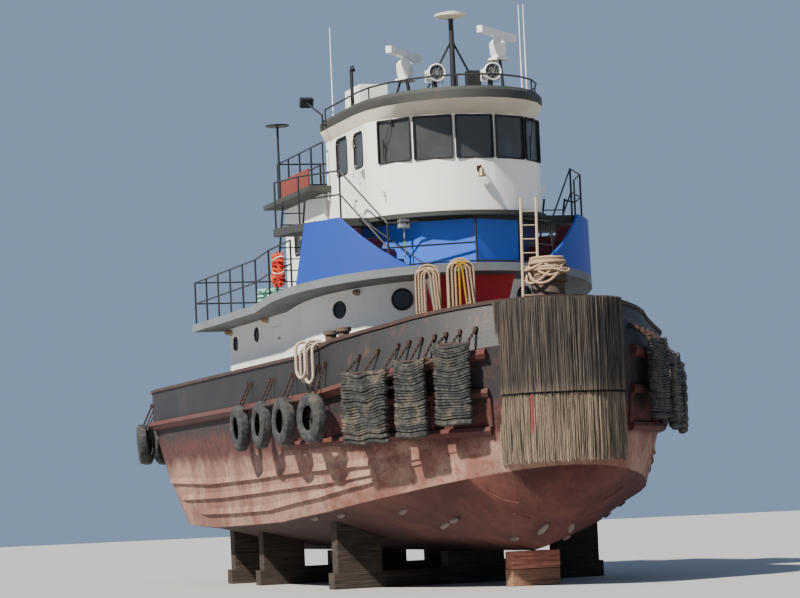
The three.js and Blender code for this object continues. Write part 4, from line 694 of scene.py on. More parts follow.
TOPSIDE = topside_finish()
SIDES = (("starboard", -1), ("port", 1))
side_doors = [f"{house}_door_{side}" for house in ("wheelhouse", "deckhouse") for side, _ in SIDES]
coat(["hull", "skeg", "rudder"], TOPSIDE)
coat(["bulwark", "stern_fender", "funnel", "capstan", "console"], BLACK)
coat(["cap_rail"], IRON)
coat(["guard_deck", "guard_bow_starboard", "guard_bow_port"], RED_OXIDE)
coat(["deckhouse"], WHITE, PAINTED_SUNLIT_FLARE, pick=flare_face)
coat(["aft_cabin", "deckhouse_door_aft", *side_doors], WHITE)
coat(["wheelhouse"], WHITE, edge=0)
coat(["wheelhouse_roof"], OLIVE, CREAM, RAIL, WHITE, edge=0, pick=roof_face)
coat(["wheelhouse_base"], SUNLIT_PAINTED_BLUE, SHADE_PAINTED_BLUE, edge=0, pick=base_face)
coat(["boat_deck"], GREY, edge=0)
coat(["bridge_deck"], OLIVE, edge=0)
coat(["house_top"], OLIVE)
coat(["stair_starboard", "stair_port"], MAROON, BLUE, GREY, pick=stair_face)
coat(["side_bitts_starboard", "side_bitts_port", "bow_bitt"], BITT_RUST)
coat(["radar_scanner_starboard", "radar_scanner_port"], WHITE_PLASTIC)
coat(["boat_deck_rail", "front_rail", "roof_rail"], RAIL, edge=0)
coat(["house_top_rail"], RAIL, BOARD_BROWN, edge=0, pick=board_face)
coat(["mast"], RAIL, CREAM, pick=mast_face)
coat(["roof_gear"], WHITE, RAIL, pick=gear_face)
coat(["hatch_lid"], GREY)
coat(["aft_deck_fittings"], BROWN)
coat(["bow_ladder"], LADDER_TAN)
coat(["propeller"], BRONZE)


# Windows: a dark rubber frame round each pane of grey glass, and a wiper on two of the front ones. The
# panes of the bridge doors open with them, as do their hinges, their handles and a blank notice plate.
def glass_finish():
    paint = Paint("window_glass")
    film = paint.noise(1.6, 4, 0.6)
    paint.shader.inputs["Alpha"].default_value = 0.62
    paint.shader.inputs["Specular IOR Level"].default_value = 0.7
    rough = paint.step(film, 0.3, 0.8) * 0.12 + 0.05
    return paint.done(paint.mix(film, tint(58, 59, 60), tint(92, 92, 90)), rough)


def plain_finish(name, color, rough, bump_scale=40, depth=0.001, metal=0.0, shade=0.72):
    """One colour, a little darker in blotches and finely grained."""
    paint = Paint(name)
    grain = paint.noise(bump_scale, 4, 0.6)
    base = tint(*color)
    color = paint.spread(base, tuple(c * shade for c in base), paint.noise(3, 4, 0.6), 0.35, 0.7)
    return paint.done(color, rough + grain * 0.15, grain, depth, metal)


GLASS = glass_finish()
SEAL = plain_finish("window_rubber", (28, 28, 30), 0.7)
SILVER = plain_finish("galvanised_steel", (168, 168, 164), 0.42, metal=0.5)
WHITE_ENAMEL = plain_finish("white_enamel", (232, 230, 224), 0.35, shade=0.9)


def window(shape, centre, out, half_u, half_v, corner, seal, proud=0.014, inset=0.03):
    """A pane and its rubber frame in a wall; out is the wall's outward normal."""
    def ring(grow, depth, steps=4):
        radius = max(0.01, corner + grow)
        middle = centre + out * depth
        points = []
        for u, v, start in ((1, 1, 0), (-1, 1, 90), (-1, -1, 180), (1, -1, 270)):
            for k in range(steps + 1):
                angle = math.radians(start + 90 * k / steps)
                sideways = u * (half_u + grow - radius) + radius * math.cos(angle)
                upwards = v * (half_v + grow - radius) + radius * math.sin(angle)
                points.append(middle + left_of(out) * sideways + UP * upwards)
        return points
    shape.rings([ring(-0.008, -inset), ring(-0.008, -inset - 0.012)], 0)
    shape.rings([
        ring(-0.006, -inset - 0.02), ring(-0.006, proud), ring(seal - 0.008, proud),
        ring(seal, proud - 0.008), ring(seal, 0.0015), ring(-0.0005, 0.0015), ring(-0.0005, -inset - 0.02),
    ], 1, loop=True)


WHEELHOUSE_HALF = 1.985
HOUSE_TOP_HALF = 2.1
WINDOW_ARC = {"x": 4.75, "reach": 2.067, "half": 0.404, "pitch": 25.1, "middle": 9.6}
glazing = Shape()
for i in range(5):
    out = heading(math.radians((i - 2) * WINDOW_ARC["pitch"]))
    across = left_of(out)
    # The pane stands across the arc, so its middle lies back from the curved wall by the arc's rise
    centre = Vector((WINDOW_ARC["x"], 0, WINDOW_ARC["middle"])) + out * WINDOW_ARC["reach"]
    window(glazing, centre, out, WINDOW_ARC["half"], 0.45, 0.012, 0.028, proud=0.022)
    if i in (0, 4):
        hinge = centre + UP * 0.44 - across * 0.05 + out * 0.045
        tip = centre - UP * 0.2 - across * 0.26 + out * 0.035
        glazing.rod(hinge, tip, 0.009, 6, 1)
        glazing.box(tip + UP * 0.02, across * 0.012, out * 0.01, UP * 0.24, 1)
        glazing.box(hinge - out * 0.01, across * 0.05, out * 0.03, UP * 0.035, 1)
glazing.piece("front_windows", [GLASS, SEAL])

side_glass = Shape()
for sign in (-1, 1):
    out = Vector((0, sign, 0))
    window(side_glass, Vector((3.335, sign * WHEELHOUSE_HALF, 9.61)), out, 0.435, 0.41, 0.11, 0.03)
    for x in (-0.36, 1.14):
        window(side_glass, Vector((x, sign * HOUSE_TOP_HALF, 8.05)), out, 0.24, 0.3, 0.09, 0.035)
for y in (-0.95, 0.95):
    window(side_glass, Vector((2.05, y, 9.615)), Vector((-1, 0, 0)), 0.38, 0.365, 0.11, 0.035)
side_glass.piece("side_windows", [GLASS, SEAL])

for side, sign in SIDES:
    out, along = Vector((0, sign, 0)), Vector((1, 0, 0))
    face = out * WHEELHOUSE_HALF
    pane = Shape()
    window(pane, face + Vector((4.675, 0, 9.58)), out, 0.345, 0.38, 0.11, 0.03, inset=0.02)
    for z in (8.4, 9.1, 9.8):
        hinge = face + out * 0.012 + Vector((4.235, 0, z))
        pane.rod(hinge - UP * 0.06, hinge + UP * 0.06, 0.014, 8, 2)
    lock = face + Vector((5.06, 0, 9.02))
    pane.box(lock + out * 0.02, along * 0.05, out * 0.02, UP * 0.09, 2)
    pane.rod(lock + out * 0.05 + UP * 0.02, lock + out * 0.06 + UP * 0.02 - along * 0.12, 0.012, 8, 2)
    pane.box(face + out * 0.006 + Vector((4.72, 0, 8.98)), along * 0.13, out * 0.004, UP * 0.15, 3)
    pane.piece(
        f"bridge_door_pane_{side}", [GLASS, SEAL, SILVER, WHITE_ENAMEL],
        f"wheelhouse_door_{side}", edge=0.003,
    )


# Rubber. Truck tyres hung on chains from a bar, each a hollow carcass with a grooved tread and a bead,
# and mats of tyre strips threaded on rods, which sag and fray. All are scuffed and grey with salt.
def rubber_finish(name, light, dark, tan):
    paint = Paint(name)
    scuff = paint.noise(9, 6, 0.7)
    fine = paint.noise(70, 4, 0.7)
    color = paint.spread(dark, light, scuff, 0.42, 0.68)
    color = paint.spread(color, tan, paint.noise(2.3, 5, 0.65), 0.5, 0.72, 0.6)
    return paint.done(color, 0.85, fine + scuff * 2, 0.006)


TYRE_RUBBER = rubber_finish("tyre_rubber", tint(70, 70, 69), tint(36, 37, 38), tint(92, 86, 76))
MAT_RUBBER = rubber_finish("mat_rubber", tint(74, 72, 68), tint(34, 34, 35), tint(118, 108, 84))


BOW_PLAN = {"start": 5.25, "end": 12.0, "half": 4.0}
STERN_PLAN = {"start": -8.05, "end": -12.35, "half": 4.0}


def plan_edge(plan, x, sign):
    """A point of an edge that runs straight, then closes in as an ellipse, and its outward direction."""
    length = plan["end"] - plan["start"]
    share = max(0.0, (x - plan["start"]) / length)
    y = plan["half"] * math.sqrt(1 - share ** 2)
    out = Vector((share / length, y / plan["half"] ** 2, 0)).normalized()
    return Vector((x, sign * y, 0)), Vector((out.x, sign * out.y, 0))


def deck_edge(x, sign):
    return plan_edge(BOW_PLAN if x > 0 else STERN_PLAN, x, sign)


def table(rows, x):
    """Straight-line interpolation in (x, value) rows, flat beyond their ends."""
    for (x0, v0), (x1, v1) in zip(rows, rows[1:]):
        if x <= x1:
            return v0 + (v1 - v0) * max(0.0, x - x0) / (x1 - x0)
    return rows[-1][1]


# Columns: x, then the height of the bulwark, or how far its top leans in
BULWARK = [(6.25, 0.74), (8.25, 0.93), (10.25, 0.93), (12.0, 0.85)]
BULWARK_LEAN = [(7.7, 0.0), (9.0, 0.42), (11.0, 0.42), (12.0, 0.32)]


def bulwark_hook(x, sign, share):
    """A point on the outside of the bulwark; share is 0 at the deck and 1 at its top."""
    edge, out = deck_edge(x, sign)
    deck = 4.2 + 0.59 * max(0.0, (x - 6.75) / 4.8) ** 1.3
    return edge + out * (0.03 - table(BULWARK_LEAN, x) * share) + UP * (deck + table(BULWARK, x) * share)


def add_chain(shape, start, end, link, wire):
    """A hanging chain of oval links, each turned a quarter from the last."""
    span = end - start
    along = span.normalized()
    first = along.orthogonal().normalized()
    second = along.cross(first)
    count = max(2, round(span.length / (link * 0.78)))
    for k in range(count):
        middle = start + span * ((k + 0.5) / count)
        oval = circle(link, 10, along / 2, (first if k % 2 else second) * 0.3)
        shape.pipe([middle + point for point in oval], wire, 5, 1, loop=True)


# Section of the carcass as (out from the axle, across), from one bead round the tread to the other
TYRE_OUTSIDE = [
    (0.275, 0.075), (0.262, 0.095), (0.29, 0.118), (0.36, 0.132), (0.44, 0.128), (0.492, 0.108),
    (0.525, 0.085), (0.53, 0.03),
]
TYRE_INSIDE = [
    (0.34, -0.1), (0.43, -0.098), (0.485, -0.06), (0.49, 0.0), (0.485, 0.06), (0.43, 0.098), (0.34, 0.1),
]
TYRE_SECTION = TYRE_OUTSIDE + [(reach, -across) for reach, across in TYRE_OUTSIDE[::-1]] + TYRE_INSIDE
GROOVED_ROWS = (5, 6, 9, 10)
TYRE = {"stand_off": 0.295, "height": 3.64, "ring": 0.4, "blocks": 32, "groove": 0.014, "sag": 0.035}
# Columns: piece, node it replaces, x of each tyre
TYRE_ROWS = [
    ("truck_tyres", "side_tyres", [2.15, 4.15, 5.95, 7.45]),
    ("stern_tyres", "quarter_tyres", [-8.8, -9.95, -10.95]),
]


def add_tyre(shape, centre, out, rng):
    """A tyre that hangs with its axle along out, a little askew."""
    axle = (out + UP * rng.uniform(-0.08, 0.08)).normalized()
    side = UP.cross(axle).normalized()
    up = axle.cross(side)
    rings = []
    for k in range(TYRE["blocks"] * 2):
        angle = math.tau * (k + 0.5 * (k % 2)) / (TYRE["blocks"] * 2)
        away = math.cos(angle) * side + math.sin(angle) * up
        squeeze = 1 - TYRE["sag"] * max(0, math.sin(angle))
        ring = []
        for row, (reach, across) in enumerate(TYRE_SECTION):
            groove = TYRE["groove"] if k % 2 and row in GROOVED_ROWS else 0.0
            ring.append(centre + away * (reach - groove) * squeeze + axle * across)
        rings.append(ring)
    shape.rings(rings, 0, loop=True)


for side, sign in SIDES:
    for tyres, node, stations in TYRE_ROWS:
        name = f"{tyres}_{side}"
        shape, bar_line = Shape(), []
        rng = random.Random(len(name))
        for x in stations:
            edge, out = deck_edge(x, sign)
            centre = edge + out * TYRE["stand_off"] + UP * TYRE["height"]
            add_tyre(shape, centre, out, rng)
            top = centre + UP * TYRE["ring"]
            bar_line.append(top)
            along = left_of(out)
            for lean in (-0.2, 0.2):
                hook = bulwark_hook(x + lean * 0.7, sign, 0.55)
                add_chain(shape, top + along * lean * 0.8, hook, 0.07, 0.011)
                shape.box(hook, along * 0.03, out * 0.035, UP * 0.05, 1)
        shape.pipe(bar_line, 0.028, 8, 1)
        shape.piece(name, [TYRE_RUBBER, IRON], slot="tyre_rubber", nodes=[f"{node}_{side}"], smooth=32)

# Columns: x on the deck edge, width, head, foot
MATS = [(9.25, 1.45, 4.46, 2.99), (10.36, 0.8, 4.6, 3.03), (11.09, 0.82, 4.88, 3.23)]
MAT = {"thickness": 0.19, "stand_off": 0.26, "layer": 0.058, "across": 14}


def add_mat(shape, x, width, head, foot, sign, rng):
    """Layers of wavy, sagging rubber strip that end each at its own place. Returns where its bar runs."""
    edge, out = deck_edge(x, sign)
    along = left_of(out) * sign
    centre = edge + out * MAT["stand_off"]
    count = round((head - foot) / MAT["layer"])
    waves = [(rng.uniform(0.8, 2.6), rng.uniform(0, 6.3), rng.uniform(0.004, 0.009)) for _ in range(3)]
    for layer in range(count):
        share = (layer + 0.5) / count
        middle = head + (foot - head) * share
        thick = MAT["thickness"] / 2 * (0.62 + 0.38 * min(1.0, share * 5)) * rng.uniform(0.84, 1.0)
        sag = (0.09 + 0.04 * share) * rng.uniform(0.7, 1.3)
        ends = (-width / 2 * rng.uniform(0.93, 1.0), width / 2 * rng.uniform(0.93, 1.0))
        tall = MAT["layer"] * rng.uniform(0.52, 0.72)
        bulge = rng.uniform(-0.012, 0.014)
        rings = []
        for k in range(MAT["across"] + 1):
            t = k / MAT["across"]
            place = ends[0] + (ends[1] - ends[0]) * t
            droop = sag * (1 - (2 * t - 1) ** 2) * (1 - share * 0.9)
            wave = sum(size * math.sin(rate * place * 6 + start + share * 7) for rate, start, size in waves)
            narrow = 1.0 if 0 < k < MAT["across"] else 0.55
            height = middle - droop + wave + sag * 0.45
            here = centre + along * place + out * (bulge + wave * 0.9) + UP * height
            ring = []
            for j in range(8):
                angle = math.tau * (j + 0.5) / 8
                inward, rise = thick * math.cos(angle) * 1.05, tall * math.sin(angle) * 1.2
                ring.append(here + (out * inward + UP * rise) * narrow)
            rings.append(ring)
        shape.rings(rings)
    for place in (-0.42, 0.0, 0.42):
        hook = bulwark_hook(x + (along * place * width).x, sign, 0.45)
        add_chain(shape, centre + along * place * width + UP * (head - 0.02), hook, 0.085, 0.013)
        shape.box(hook, along * 0.035, out * 0.035, UP * 0.06, 1)
    rod = centre + UP * (head - 0.01)
    shape.rod(rod - along * width * 0.5, rod + along * width * 0.5, 0.03, 8, 1)
    return centre + UP * (head - 0.19)


for side, sign in SIDES:
    mats = Shape()
    rng = random.Random(11)
    mats.pipe([add_mat(mats, *mat, sign, rng) for mat in MATS], 0.032, 8, 1)
    mats.piece(f"tyre_mats_{side}", [MAT_RUBBER, IRON], slot="tyre_rubber", nodes=[f"mats_{side}"], smooth=50)


# Bow fender. Two tiers of old rubber and rope strands hung round a drum, packed tight, frayed at their
# lower ends and bleached in streaks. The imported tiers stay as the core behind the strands.
# A red strap hangs down the lower tier.
STRAP = {"y": -0.91, "foot": 3.05}


def pudding_finish():
    paint = Paint("pudding")
    strands = paint.noise(1, 5, 0.7, (26, 26, 0.9))
    broad = paint.noise(1, 4, 0.6, (3.5, 3.5, 0.5))
    fuzz = paint.noise(50, 4, 0.7)
    depth = paint.z * -1
    lower = paint.step(depth, -4.1, -3.5)
    color = paint.spread(tint(36, 33, 32), tint(104, 93, 82), strands, 0.38, 0.7)
    color = paint.spread(color, tint(142, 124, 104), strands, 0.34, 0.6, lower)
    color = paint.spread(color, tint(172, 152, 120), strands, 0.62, 0.74, lower)
    color = paint.spread(color, tint(58, 60, 40), broad, 0.56, 0.7, 0.45)
    color = paint.spread(color, tint(30, 27, 25), broad, 0.42, 0.3, 0.5)
    # A near-black band where the upper tier hangs over the lower one is painted shade
    color = paint.spread(color, tint(14, 13, 13), abs(paint.z - 3.81), 0.03, 0.012)
    across = paint.step(abs(paint.y - STRAP["y"]), 0.035, 0.02) * paint.step(paint.x, 12.0, 12.05)
    down = paint.step(paint.z, STRAP["foot"] - 0.1, STRAP["foot"] + 0.1) * paint.step(depth, -3.8, -3.78)
    color = paint.spread(color, tint(134, 56, 56), fuzz, 0.34, 0.5, across * down)
    return paint.done(color, 0.95, strands * 2 + fuzz, 0.012)


PUDDING = pudding_finish()
# Columns: name, foot, head, radius of the drum
FENDER_TIERS = [("lower", 2.47, 3.82, 1.275), ("upper", 3.80, 5.69, 1.3)]
FENDER = {"x": 11.35, "strands": 210, "reach": math.radians(104), "upper_reach": math.radians(86), "steps": 6}
coat(["bow_fender_lower", "bow_fender_upper"], PUDDING, edge=0)
for tier, foot, head, radius in FENDER_TIERS:
    rng = random.Random(5)
    strands = Shape()
    for i in range(FENDER["strands"]):
        spread = FENDER["reach"] * (2 * (i + 0.5) / FENDER["strands"] - 1)
        half_width = FENDER["reach"] * radius / FENDER["strands"] * rng.uniform(0.8, 1.25)
        depth = rng.uniform(0.012, 0.042)
        top = head - rng.uniform(0, 0.035)
        bottom = foot + rng.uniform(-0.03, 0.04) + (0.0 if rng.random() < 0.85 else rng.uniform(0, 0.12))
        sway = [rng.uniform(-0.006, 0.006) for _ in range(FENDER["steps"] + 1)]
        rings = []
        for k, shift in enumerate(sway):
            out = heading(spread + shift / radius)
            side = left_of(out) * half_width
            z = bottom + (top - bottom) * k / FENDER["steps"]
            base = Vector((FENDER["x"], 0, z)) + out * (radius - 0.006)
            full = out * depth * (0.75 if k in (0, FENDER["steps"]) else rng.uniform(0.85, 1.15))
            rings.append([
                base - side, base - side * 0.75 + full, base + full * 1.15,
                base + side * 0.75 + full, base + side,
            ])
        if abs(spread) < FENDER["upper_reach"] or tier == "lower":
            strands.rings(rings)
    strands.piece(f"fender_strands_{tier}", [PUDDING], slot="rope_pudding", smooth=25)


# Shell plating. The bow plates are lapped, so three long edges stand out along each side, with weld beads
# on the stem plates and zinc anodes bolted to the bottom.
def surface(node):
    """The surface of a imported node, to set pieces on."""
    piece = frame["nodes"][node]
    points = [piece.matrix_world @ corner.co for corner in piece.data.vertices]
    return BVHTree.FromPolygons(points, [tuple(face.vertices) for face in piece.data.polygons])


hull = surface("hull")
# Columns: x, height of the plate edge
PLATE_EDGES = [
    [(-7.0, 2.12), (-2.0, 2.12), (2.1, 2.18), (4.9, 2.24), (7.1, 2.31), (9.2, 2.48), (10.2, 2.6)],
    [(-5.0, 1.74), (-1.0, 1.74), (2.2, 1.77), (5.9, 2.0), (8.0, 2.22), (9.2, 2.34)],
    [(-9.0, 2.62), (-3.0, 2.46), (2.0, 2.5), (9.4, 2.62), (10.9, 2.78)],
]
WELD_BEADS = [
    [(10.87, 1.442, 1.936), (10.99, 1.154, 1.784), (11.18, 0.888, 1.691)],
    [(10.9, 0.927, 1.498), (11.0, 0.609, 1.384)],
]
PLATE = {"steps": 60, "width": 0.13, "thickness": 0.055, "sunk": 0.01, "outboard": 9}
plating = Shape()
for sign in (-1, 1):
    for edge_table in PLATE_EDGES:
        rings = []
        first, last = edge_table[0][0], edge_table[-1][0]
        for k in range(PLATE["steps"] + 1):
            x = first + (last - first) * k / PLATE["steps"]
            z = table(edge_table, x)
            outside, inward = Vector((x, sign * PLATE["outboard"], z)), Vector((0, -sign, 0))
            low, normal = hull.ray_cast(outside, inward)[:2]
            high = hull.ray_cast(outside + UP * PLATE["width"], inward)[0]
            if low is None or high is None:
                continue
            fade = min(1.0, k / 4, (PLATE["steps"] - k) / 6 + 0.15)
            rings.append([
                low - normal * PLATE["sunk"], low + normal * PLATE["thickness"] * fade,
                high + normal * 0.002, high - normal * PLATE["sunk"],
            ])
        plating.rings(rings)
    for bead in WELD_BEADS:
        line = [hull.find_nearest(Vector((x, sign * y, z)))[0] for x, y, z in bead]
        plating.pipe([point + Vector((0.004, sign * 0.004, -0.004)) for point in line], 0.012, 6)
plating.piece("plate_edges", [TOPSIDE], slot="hull_paint")

# Columns: x, y, height of each anode
ANODES = [
    (4.88, 3.377, 1.554), (6.12, 3.138, 1.597), (8.23, 2.397, 1.628), (8.73, 1.663, 1.305),
    (9.33, 1.658, 1.402), (9.86, 0.55, 0.986), (10.86, 0.295, 1.152), (-7.2, 2.6, 1.8), (-8.6, 1.8, 2.4),
]
anodes = Shape()
for sign in (-1, 1):
    for x, y, z in ANODES:
        place, normal = hull.find_nearest(Vector((x, sign * y, z)))[:2]
        along = (Vector((1, 0, 0)) - normal * normal.x).normalized()
        across = normal.cross(along)
        rings = []
        for k in range(9):
            t = -1 + 2 * k / 8
            wide = across * (0.05 * (1 - t ** 4) + 0.012)
            tall = normal * (0.045 * (1 - t ** 4) + 0.006)
            here = place + along * 0.23 * t
            sunk = here - normal * 0.006
            rings.append([sunk - wide, here - wide * 0.7 + tall, here + wide * 0.7 + tall, sunk + wide])
        anodes.rings(rings)
        anodes.box(place + normal * 0.006, along * 0.3, across * 0.018, normal * 0.006, 1)
anodes.piece("anodes", [plain_finish("zinc", (116, 102, 96), 0.7), IRON], slot="bottom_paint")


# House fittings: portholes with black rims and bolts, amber bulkhead lights in cages, the bell on the
# front of the wheelhouse, cleats, grab rails, and a blank lamp board on its pole, all bolted or welded on.
DECKHOUSE_PLAN = {"start": 2.6, "end": 6.0, "half": 3.0}
house = surface("deckhouse")


def on_house(x, sign, z):
    """A point of the deckhouse wall and its outward direction."""
    edge, out = plan_edge(DECKHOUSE_PLAN, x, sign)
    return house.find_nearest(edge + UP * z)[0], out


def spoke(out, angle):
    """A direction in the wall that faces out."""
    return left_of(out) * math.cos(angle) + UP * math.sin(angle)


# Columns: x, height, radius of the glass
PORTHOLES = [(-3.21, 5.85, 0.13), (-1.08, 5.93, 0.13), (4.46, 6.08, 0.15), (5.6, 6.2, 0.2)]
# Columns: x, height of each bulkhead light
HOUSE_LIGHTS = [(4.9, 6.42), (0.03, 6.2), (-3.6, 6.15)]
PORT_GLASS = plain_finish("port_glass", (30, 34, 38), 0.12, depth=0.0005)
LAMP_AMBER = plain_finish("amber_glass", (224, 150, 60), 0.25, shade=0.85)
ports = Shape()
lights = Shape()
for sign in (-1, 1):
    for x, z, radius in PORTHOLES:
        place, out = on_house(x, sign, z)
        ports.turned([(radius, 0.0), (radius, 0.012)], place, out, 24)
        ports.turned([
            (radius - 0.004, -0.01), (radius - 0.004, 0.03), (radius + 0.012, 0.038), (radius + 0.04, 0.03),
            (radius + 0.05, -0.01),
        ], place, out, 24, 1, loop=True)
        for k in range(8):
            bolt = place + spoke(out, math.tau * k / 8) * (radius + 0.022)
            ports.rod(bolt + out * 0.03, bolt + out * 0.046, 0.009, 6, 1)
    for x, z in HOUSE_LIGHTS:
        place, out = on_house(x, sign, z)
        lights.turned([(0.075, -0.005), (0.075, 0.05), (0.06, 0.06)], place, out, 16)
        lights.turned([(0.05, 0.06), (0.05, 0.12), (0.035, 0.16), (0.005, 0.17)], place, out, 16, 1)
        for k in range(4):
            wire = spoke(out, math.pi * k / 4)
            lights.pipe([
                place + out * (0.06 + 0.125 * math.sin(t)) + wire * 0.062 * math.cos(t)
                for t in (0, 0.5, 1.0, 1.57, 2.14, 2.64, 3.14)
            ], 0.005, 5)
ports.piece("portholes", [PORT_GLASS, RAIL], smooth=30)
lights.piece("bulkhead_lights", [SILVER, LAMP_AMBER], smooth=40)

bell = Shape()
bell_plate, bell_out = Vector((6.835, 0.064, 8.9)), Vector((0.995, 0.1, 0))
bell_top = bell_plate + bell_out * 0.14
bell.box(bell_plate, bell_out * 0.012, Vector((0, 0.05, 0)), UP * 0.06, 1)
bell.pipe([bell_plate + UP * 0.03, bell_plate + bell_out * 0.09 + UP * 0.06, bell_top], 0.012, 6, 1)
bell.turned([
    (0.012, 0.0), (0.035, -0.01), (0.05, -0.04), (0.058, -0.11), (0.075, -0.165), (0.092, -0.185),
    (0.088, -0.192), (0.06, -0.17), (0.045, -0.1), (0.01, -0.05),
], bell_top, UP, 20)
bell.rod(bell_top - UP * 0.06, bell_top - UP * 0.2, 0.01, 6, 1, 0.018)
bell.piece("bell", [plain_finish("old_brass", (150, 140, 112), 0.4, metal=0.6), IRON], smooth=40)

board = Shape()
board_foot = Vector((6.12, -1.46, 6.81))
board_middle = board_foot + UP
board.rod(board_foot, board_foot + UP * 0.9, 0.014)
board.box(board_middle, Vector((0.015, 0.006, 0)), Vector((-0.06, 0.15, 0)), UP * 0.12)
board_plate = board_middle + Vector((0.018, 0.008, 0))
board.box(board_plate, Vector((0.005, 0.002, 0)), Vector((-0.05, 0.125, 0)), UP * 0.095, 1)
for y in (-0.07, 0.07):
    lens = board_middle + Vector((0.02, y, 0))
    board.turned([(0.035, 0.0), (0.03, 0.03), (0.01, 0.045)], lens, Vector((1, 0.1, 0)), 12, 2)
board.piece("lamp_board", [SILVER, WHITE_ENAMEL, PORT_GLASS], edge=0.004)

cleats = Shape()
for sign in (-1, 1):
    out = Vector((0.59, sign * 0.81, 0))
    place = Vector((5.84, sign * 1.77, 8.52))
    cleats.box(place, out * 0.02, left_of(out) * 0.06, UP * 0.08)
    cleats.rod(place + out * 0.02, place + out * 0.14, 0.016)
    cleats.rod(place + out * 0.12 - UP * 0.09, place + out * 0.12 + UP * 0.09, 0.013)
    wall, bar = sign * WHEELHOUSE_HALF, sign * 2.05
    cleats.pipe([Vector((2.3, y, z)) for y, z in ((wall, 8.75), (bar, 8.75), (bar, 9.3), (wall, 9.3))], 0.012)
cleats.piece("cleats_and_grabs", [WHITE], slot="white_paint")


# Door furniture: a lever handle with its round plate on the free edge and two strap hinges, on both kinds
# of steel door. The hinges lie on the outer face, and everything turns with its door.
DOORS = [
    ("deckhouse_door_starboard", (0, -1, 0)), ("deckhouse_door_port", (0, 1, 0)),
    ("deckhouse_door_aft", (-1, 0, 0)),
    ("wheelhouse_door_starboard", (0, -1, 0)), ("wheelhouse_door_port", (0, 1, 0)),
]
for door, outward in DOORS:
    low, high = (Vector(corner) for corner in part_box(door))
    out = Vector(outward)
    along = Vector((abs(out.y), abs(out.x), 0))
    middle = (low + high) / 2
    face = middle + out * abs((high - low).dot(out)) / 2
    half = (high - low).dot(along) / 2
    pivot = next(Vector(joint["pos_m"]) for joint in frame["joints"] if joint["child"] == door)
    toward_hinge = along if (pivot - middle).dot(along) > 0 else -along
    fitted = Shape()
    handle = face - toward_hinge * (half - 0.09) - UP * 0.05
    fitted.turned([(0.035, 0.0), (0.035, 0.008), (0.015, 0.012)], handle, out, 14)
    lever = handle + out * 0.05
    lever_line = [handle, handle + out * 0.045, lever + toward_hinge * 0.05, lever + toward_hinge * 0.13]
    fitted.pipe(lever_line, 0.009, 7)
    for share in (-0.32, 0.32):
        strap = face + toward_hinge * (half - 0.12) + UP * (high.z - low.z) * share
        fitted.box(strap + out * 0.005, toward_hinge * 0.1, out * 0.005, UP * 0.022)
        for along_strap in (-0.07, -0.02):
            bolt = strap + out * 0.01 + toward_hinge * along_strap
            fitted.turned([(0.009, 0.0), (0.009, 0.006), (0.004, 0.01)], bolt, out, 8)
    fitted.piece(f"{door}_furniture", [STEEL], door, edge=0.002)


# Searchlights: a dark glass behind a guard of galvanised wire, in a white rolled rim. Two bolts hold each
# lamp between the arms of a yoke of flat bar.
lamps = Shape()
for x, y in SEARCHLIGHTS:
    axle = Vector((x, y, 11.04))
    out = Vector((1, 0, 0))
    front = axle + out * 0.19
    lamps.turned([(0.17, 0.001), (0.17, 0.006)], front, out, 28, 1)
    lamps.turned(
        [(0.162, 0.0), (0.168, 0.045), (0.184, 0.05), (0.2, 0.035), (0.2, -0.02), (0.186, -0.02)],
        front, out, 28, loop=True,
    )
    for radius in (0.045, 0.088, 0.13):
        ring = circle(radius, 24, Vector((0, 1, 0)), UP)
        lamps.pipe([front + out * 0.018 + point for point in ring], 0.0045, 5, 2, loop=True)
    for k in range(4):
        bar = spoke(out, math.pi * k / 4 + 0.3) * 0.165
        lamps.rod(front + out * 0.02 - bar, front + out * 0.02 + bar, 0.0045, 5, 2)
    for sign in (-1, 1):
        arm = Vector((0, sign * 0.2, 0))
        lamps.box(axle + arm - UP * 0.06, out * 0.03, Vector((0, 0.006, 0)), UP * 0.13)
        lamps.rod(axle + arm * 0.8, axle + arm * 1.12, 0.022, 10, 2)
    lamps.box(axle - UP * 0.188, out * 0.03, Vector((0, 0.206, 0)), UP * 0.006)
lamps.piece("searchlight_fronts", [WHITE_ENAMEL, PORT_GLASS, SILVER], edge=0.002)


# Rescue net: a rolled cargo net of orange and red webbing, lashed to the rail with white cord. Loose
# folds of webbing run down the roll, and bands of it go round.
NET = {"place": Vector((3.72, -3.668, 0)), "turn": -81.4, "width": 0.6, "foot": 6.64, "head": 7.46}
WEBBING = (("orange_webbing", (226, 84, 44)), ("red_webbing", (176, 34, 34)), ("white_cord", (224, 220, 206)))
net_out = heading(math.radians(NET["turn"]))
net_across = left_of(net_out)
net = Shape()
net_rng = random.Random(21)
for k in range(26):
    place = net_rng.uniform(-1, 1)
    half = NET["width"] * 0.5 * (1 - 0.15 * abs(place))
    depth = net_rng.uniform(-0.075, 0.075)
    top = NET["head"] - 0.16 * place ** 2 - net_rng.uniform(0, 0.05)
    low = NET["foot"] + 0.14 * place ** 2 + net_rng.uniform(0, 0.08)
    line = []
    for i in range(15):
        t = i / 14
        sideways = place * half * 0.85 + 0.03 * math.sin(t * 9 + k) + net_rng.uniform(-0.012, 0.012)
        outward = depth + 0.02 * math.sin(t * 13 + k)
        line.append(NET["place"] + UP * (top + (low - top) * t) + net_across * sideways + net_out * outward)
    net.pipe(line, net_rng.uniform(0.017, 0.03), 6, 0 if k % 3 else 1)
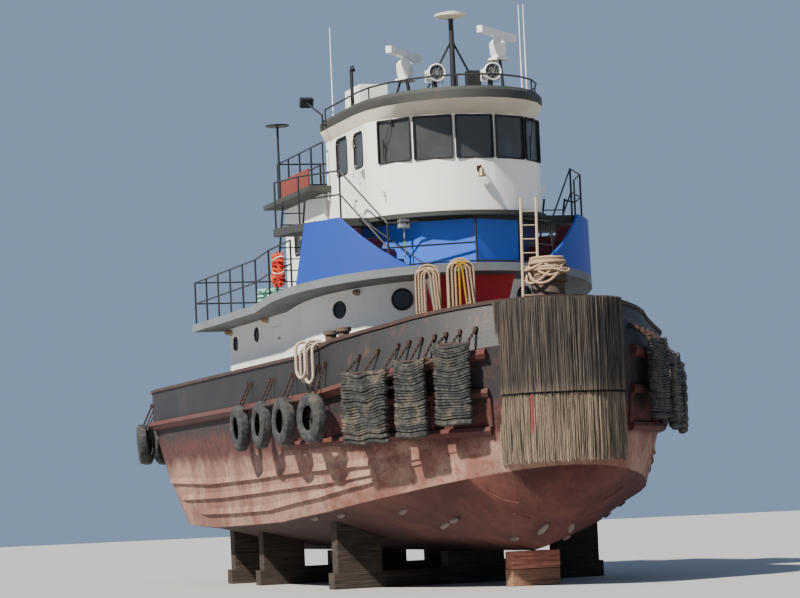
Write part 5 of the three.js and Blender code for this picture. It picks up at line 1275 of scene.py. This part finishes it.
for k in range(9):
    turns = []
    for i in range(20):
        angle = math.tau * i / 20
        rise = NET["foot"] + 0.1 + 0.08 * k + 0.03 * math.sin(angle * 2 + k)
        around = net_across * 0.27 * math.cos(angle) + net_out * 0.095 * math.sin(angle)
        turns.append(NET["place"] + UP * rise + around)
    net.pipe(turns, 0.016 if k % 4 else 0.01, 6, (0, 1, 0, 2)[k % 4], loop=True)
net.piece(
    "rolled_net", [plain_finish(name, color, 0.9, 90, 0.003) for name, color in WEBBING],
    slot="orange_fabric", nodes=["rescue_net"], smooth=60,
)


# Timber blocking. Heavy sawn baulks, weathered brown-grey with end checks, stacked crosswise. Those under
# the hull are coloured dark brown, painted shade for the deep shadow there. The stack under the forefoot is
# two timbers, the upper one smeared with red bottom paint.
def timber_finish(name, light, dark):
    paint = Paint(name)
    grain = paint.noise(1, 6, 0.6, (5, 1.1, 26), 0.6)
    blotch = paint.noise(1.7, 5, 0.6)
    color = paint.spread(dark, light, grain, 0.35, 0.65)
    color = paint.spread(color, tuple(c * 0.5 for c in dark), blotch, 0.45, 0.7, 0.5)
    return paint.done(color, 0.9, grain * 2 + blotch, 0.01)


# BAULK's dark brown is painted shade; the keel stack's pale and red timbers keep their own colours
BAULK = timber_finish("baulk", tint(66, 54, 44), tint(36, 29, 24))
BAULK_PALE = timber_finish("baulk_pale", tint(160, 118, 92), tint(112, 78, 60))
BAULK_RED = timber_finish("baulk_red", tint(186, 122, 102), tint(136, 78, 64))
# Columns: foot, head, shift to port, mark of the finish
KEEL_TIMBERS = [(0.001, 0.345, -0.004, 0), (0.351, 0.708, 0.006, 1)]
coat(["blocking_aft", "blocking_middle", "blocking_fore"], BAULK, edge=0.012)
keel_stack = Shape()
for low, high, shift, mark in KEEL_TIMBERS:
    middle = Vector((9.305, shift, (low + high) / 2))
    keel_stack.box(middle, Vector((0.222, 0, 0)), Vector((0, 0.518, 0)), UP * (high - low) / 2, mark)
keel_stack.piece(
    "keel_stack", [BAULK_PALE, BAULK_RED], slot="timber", nodes=["keel_block_forward"], edge=0.014,
)
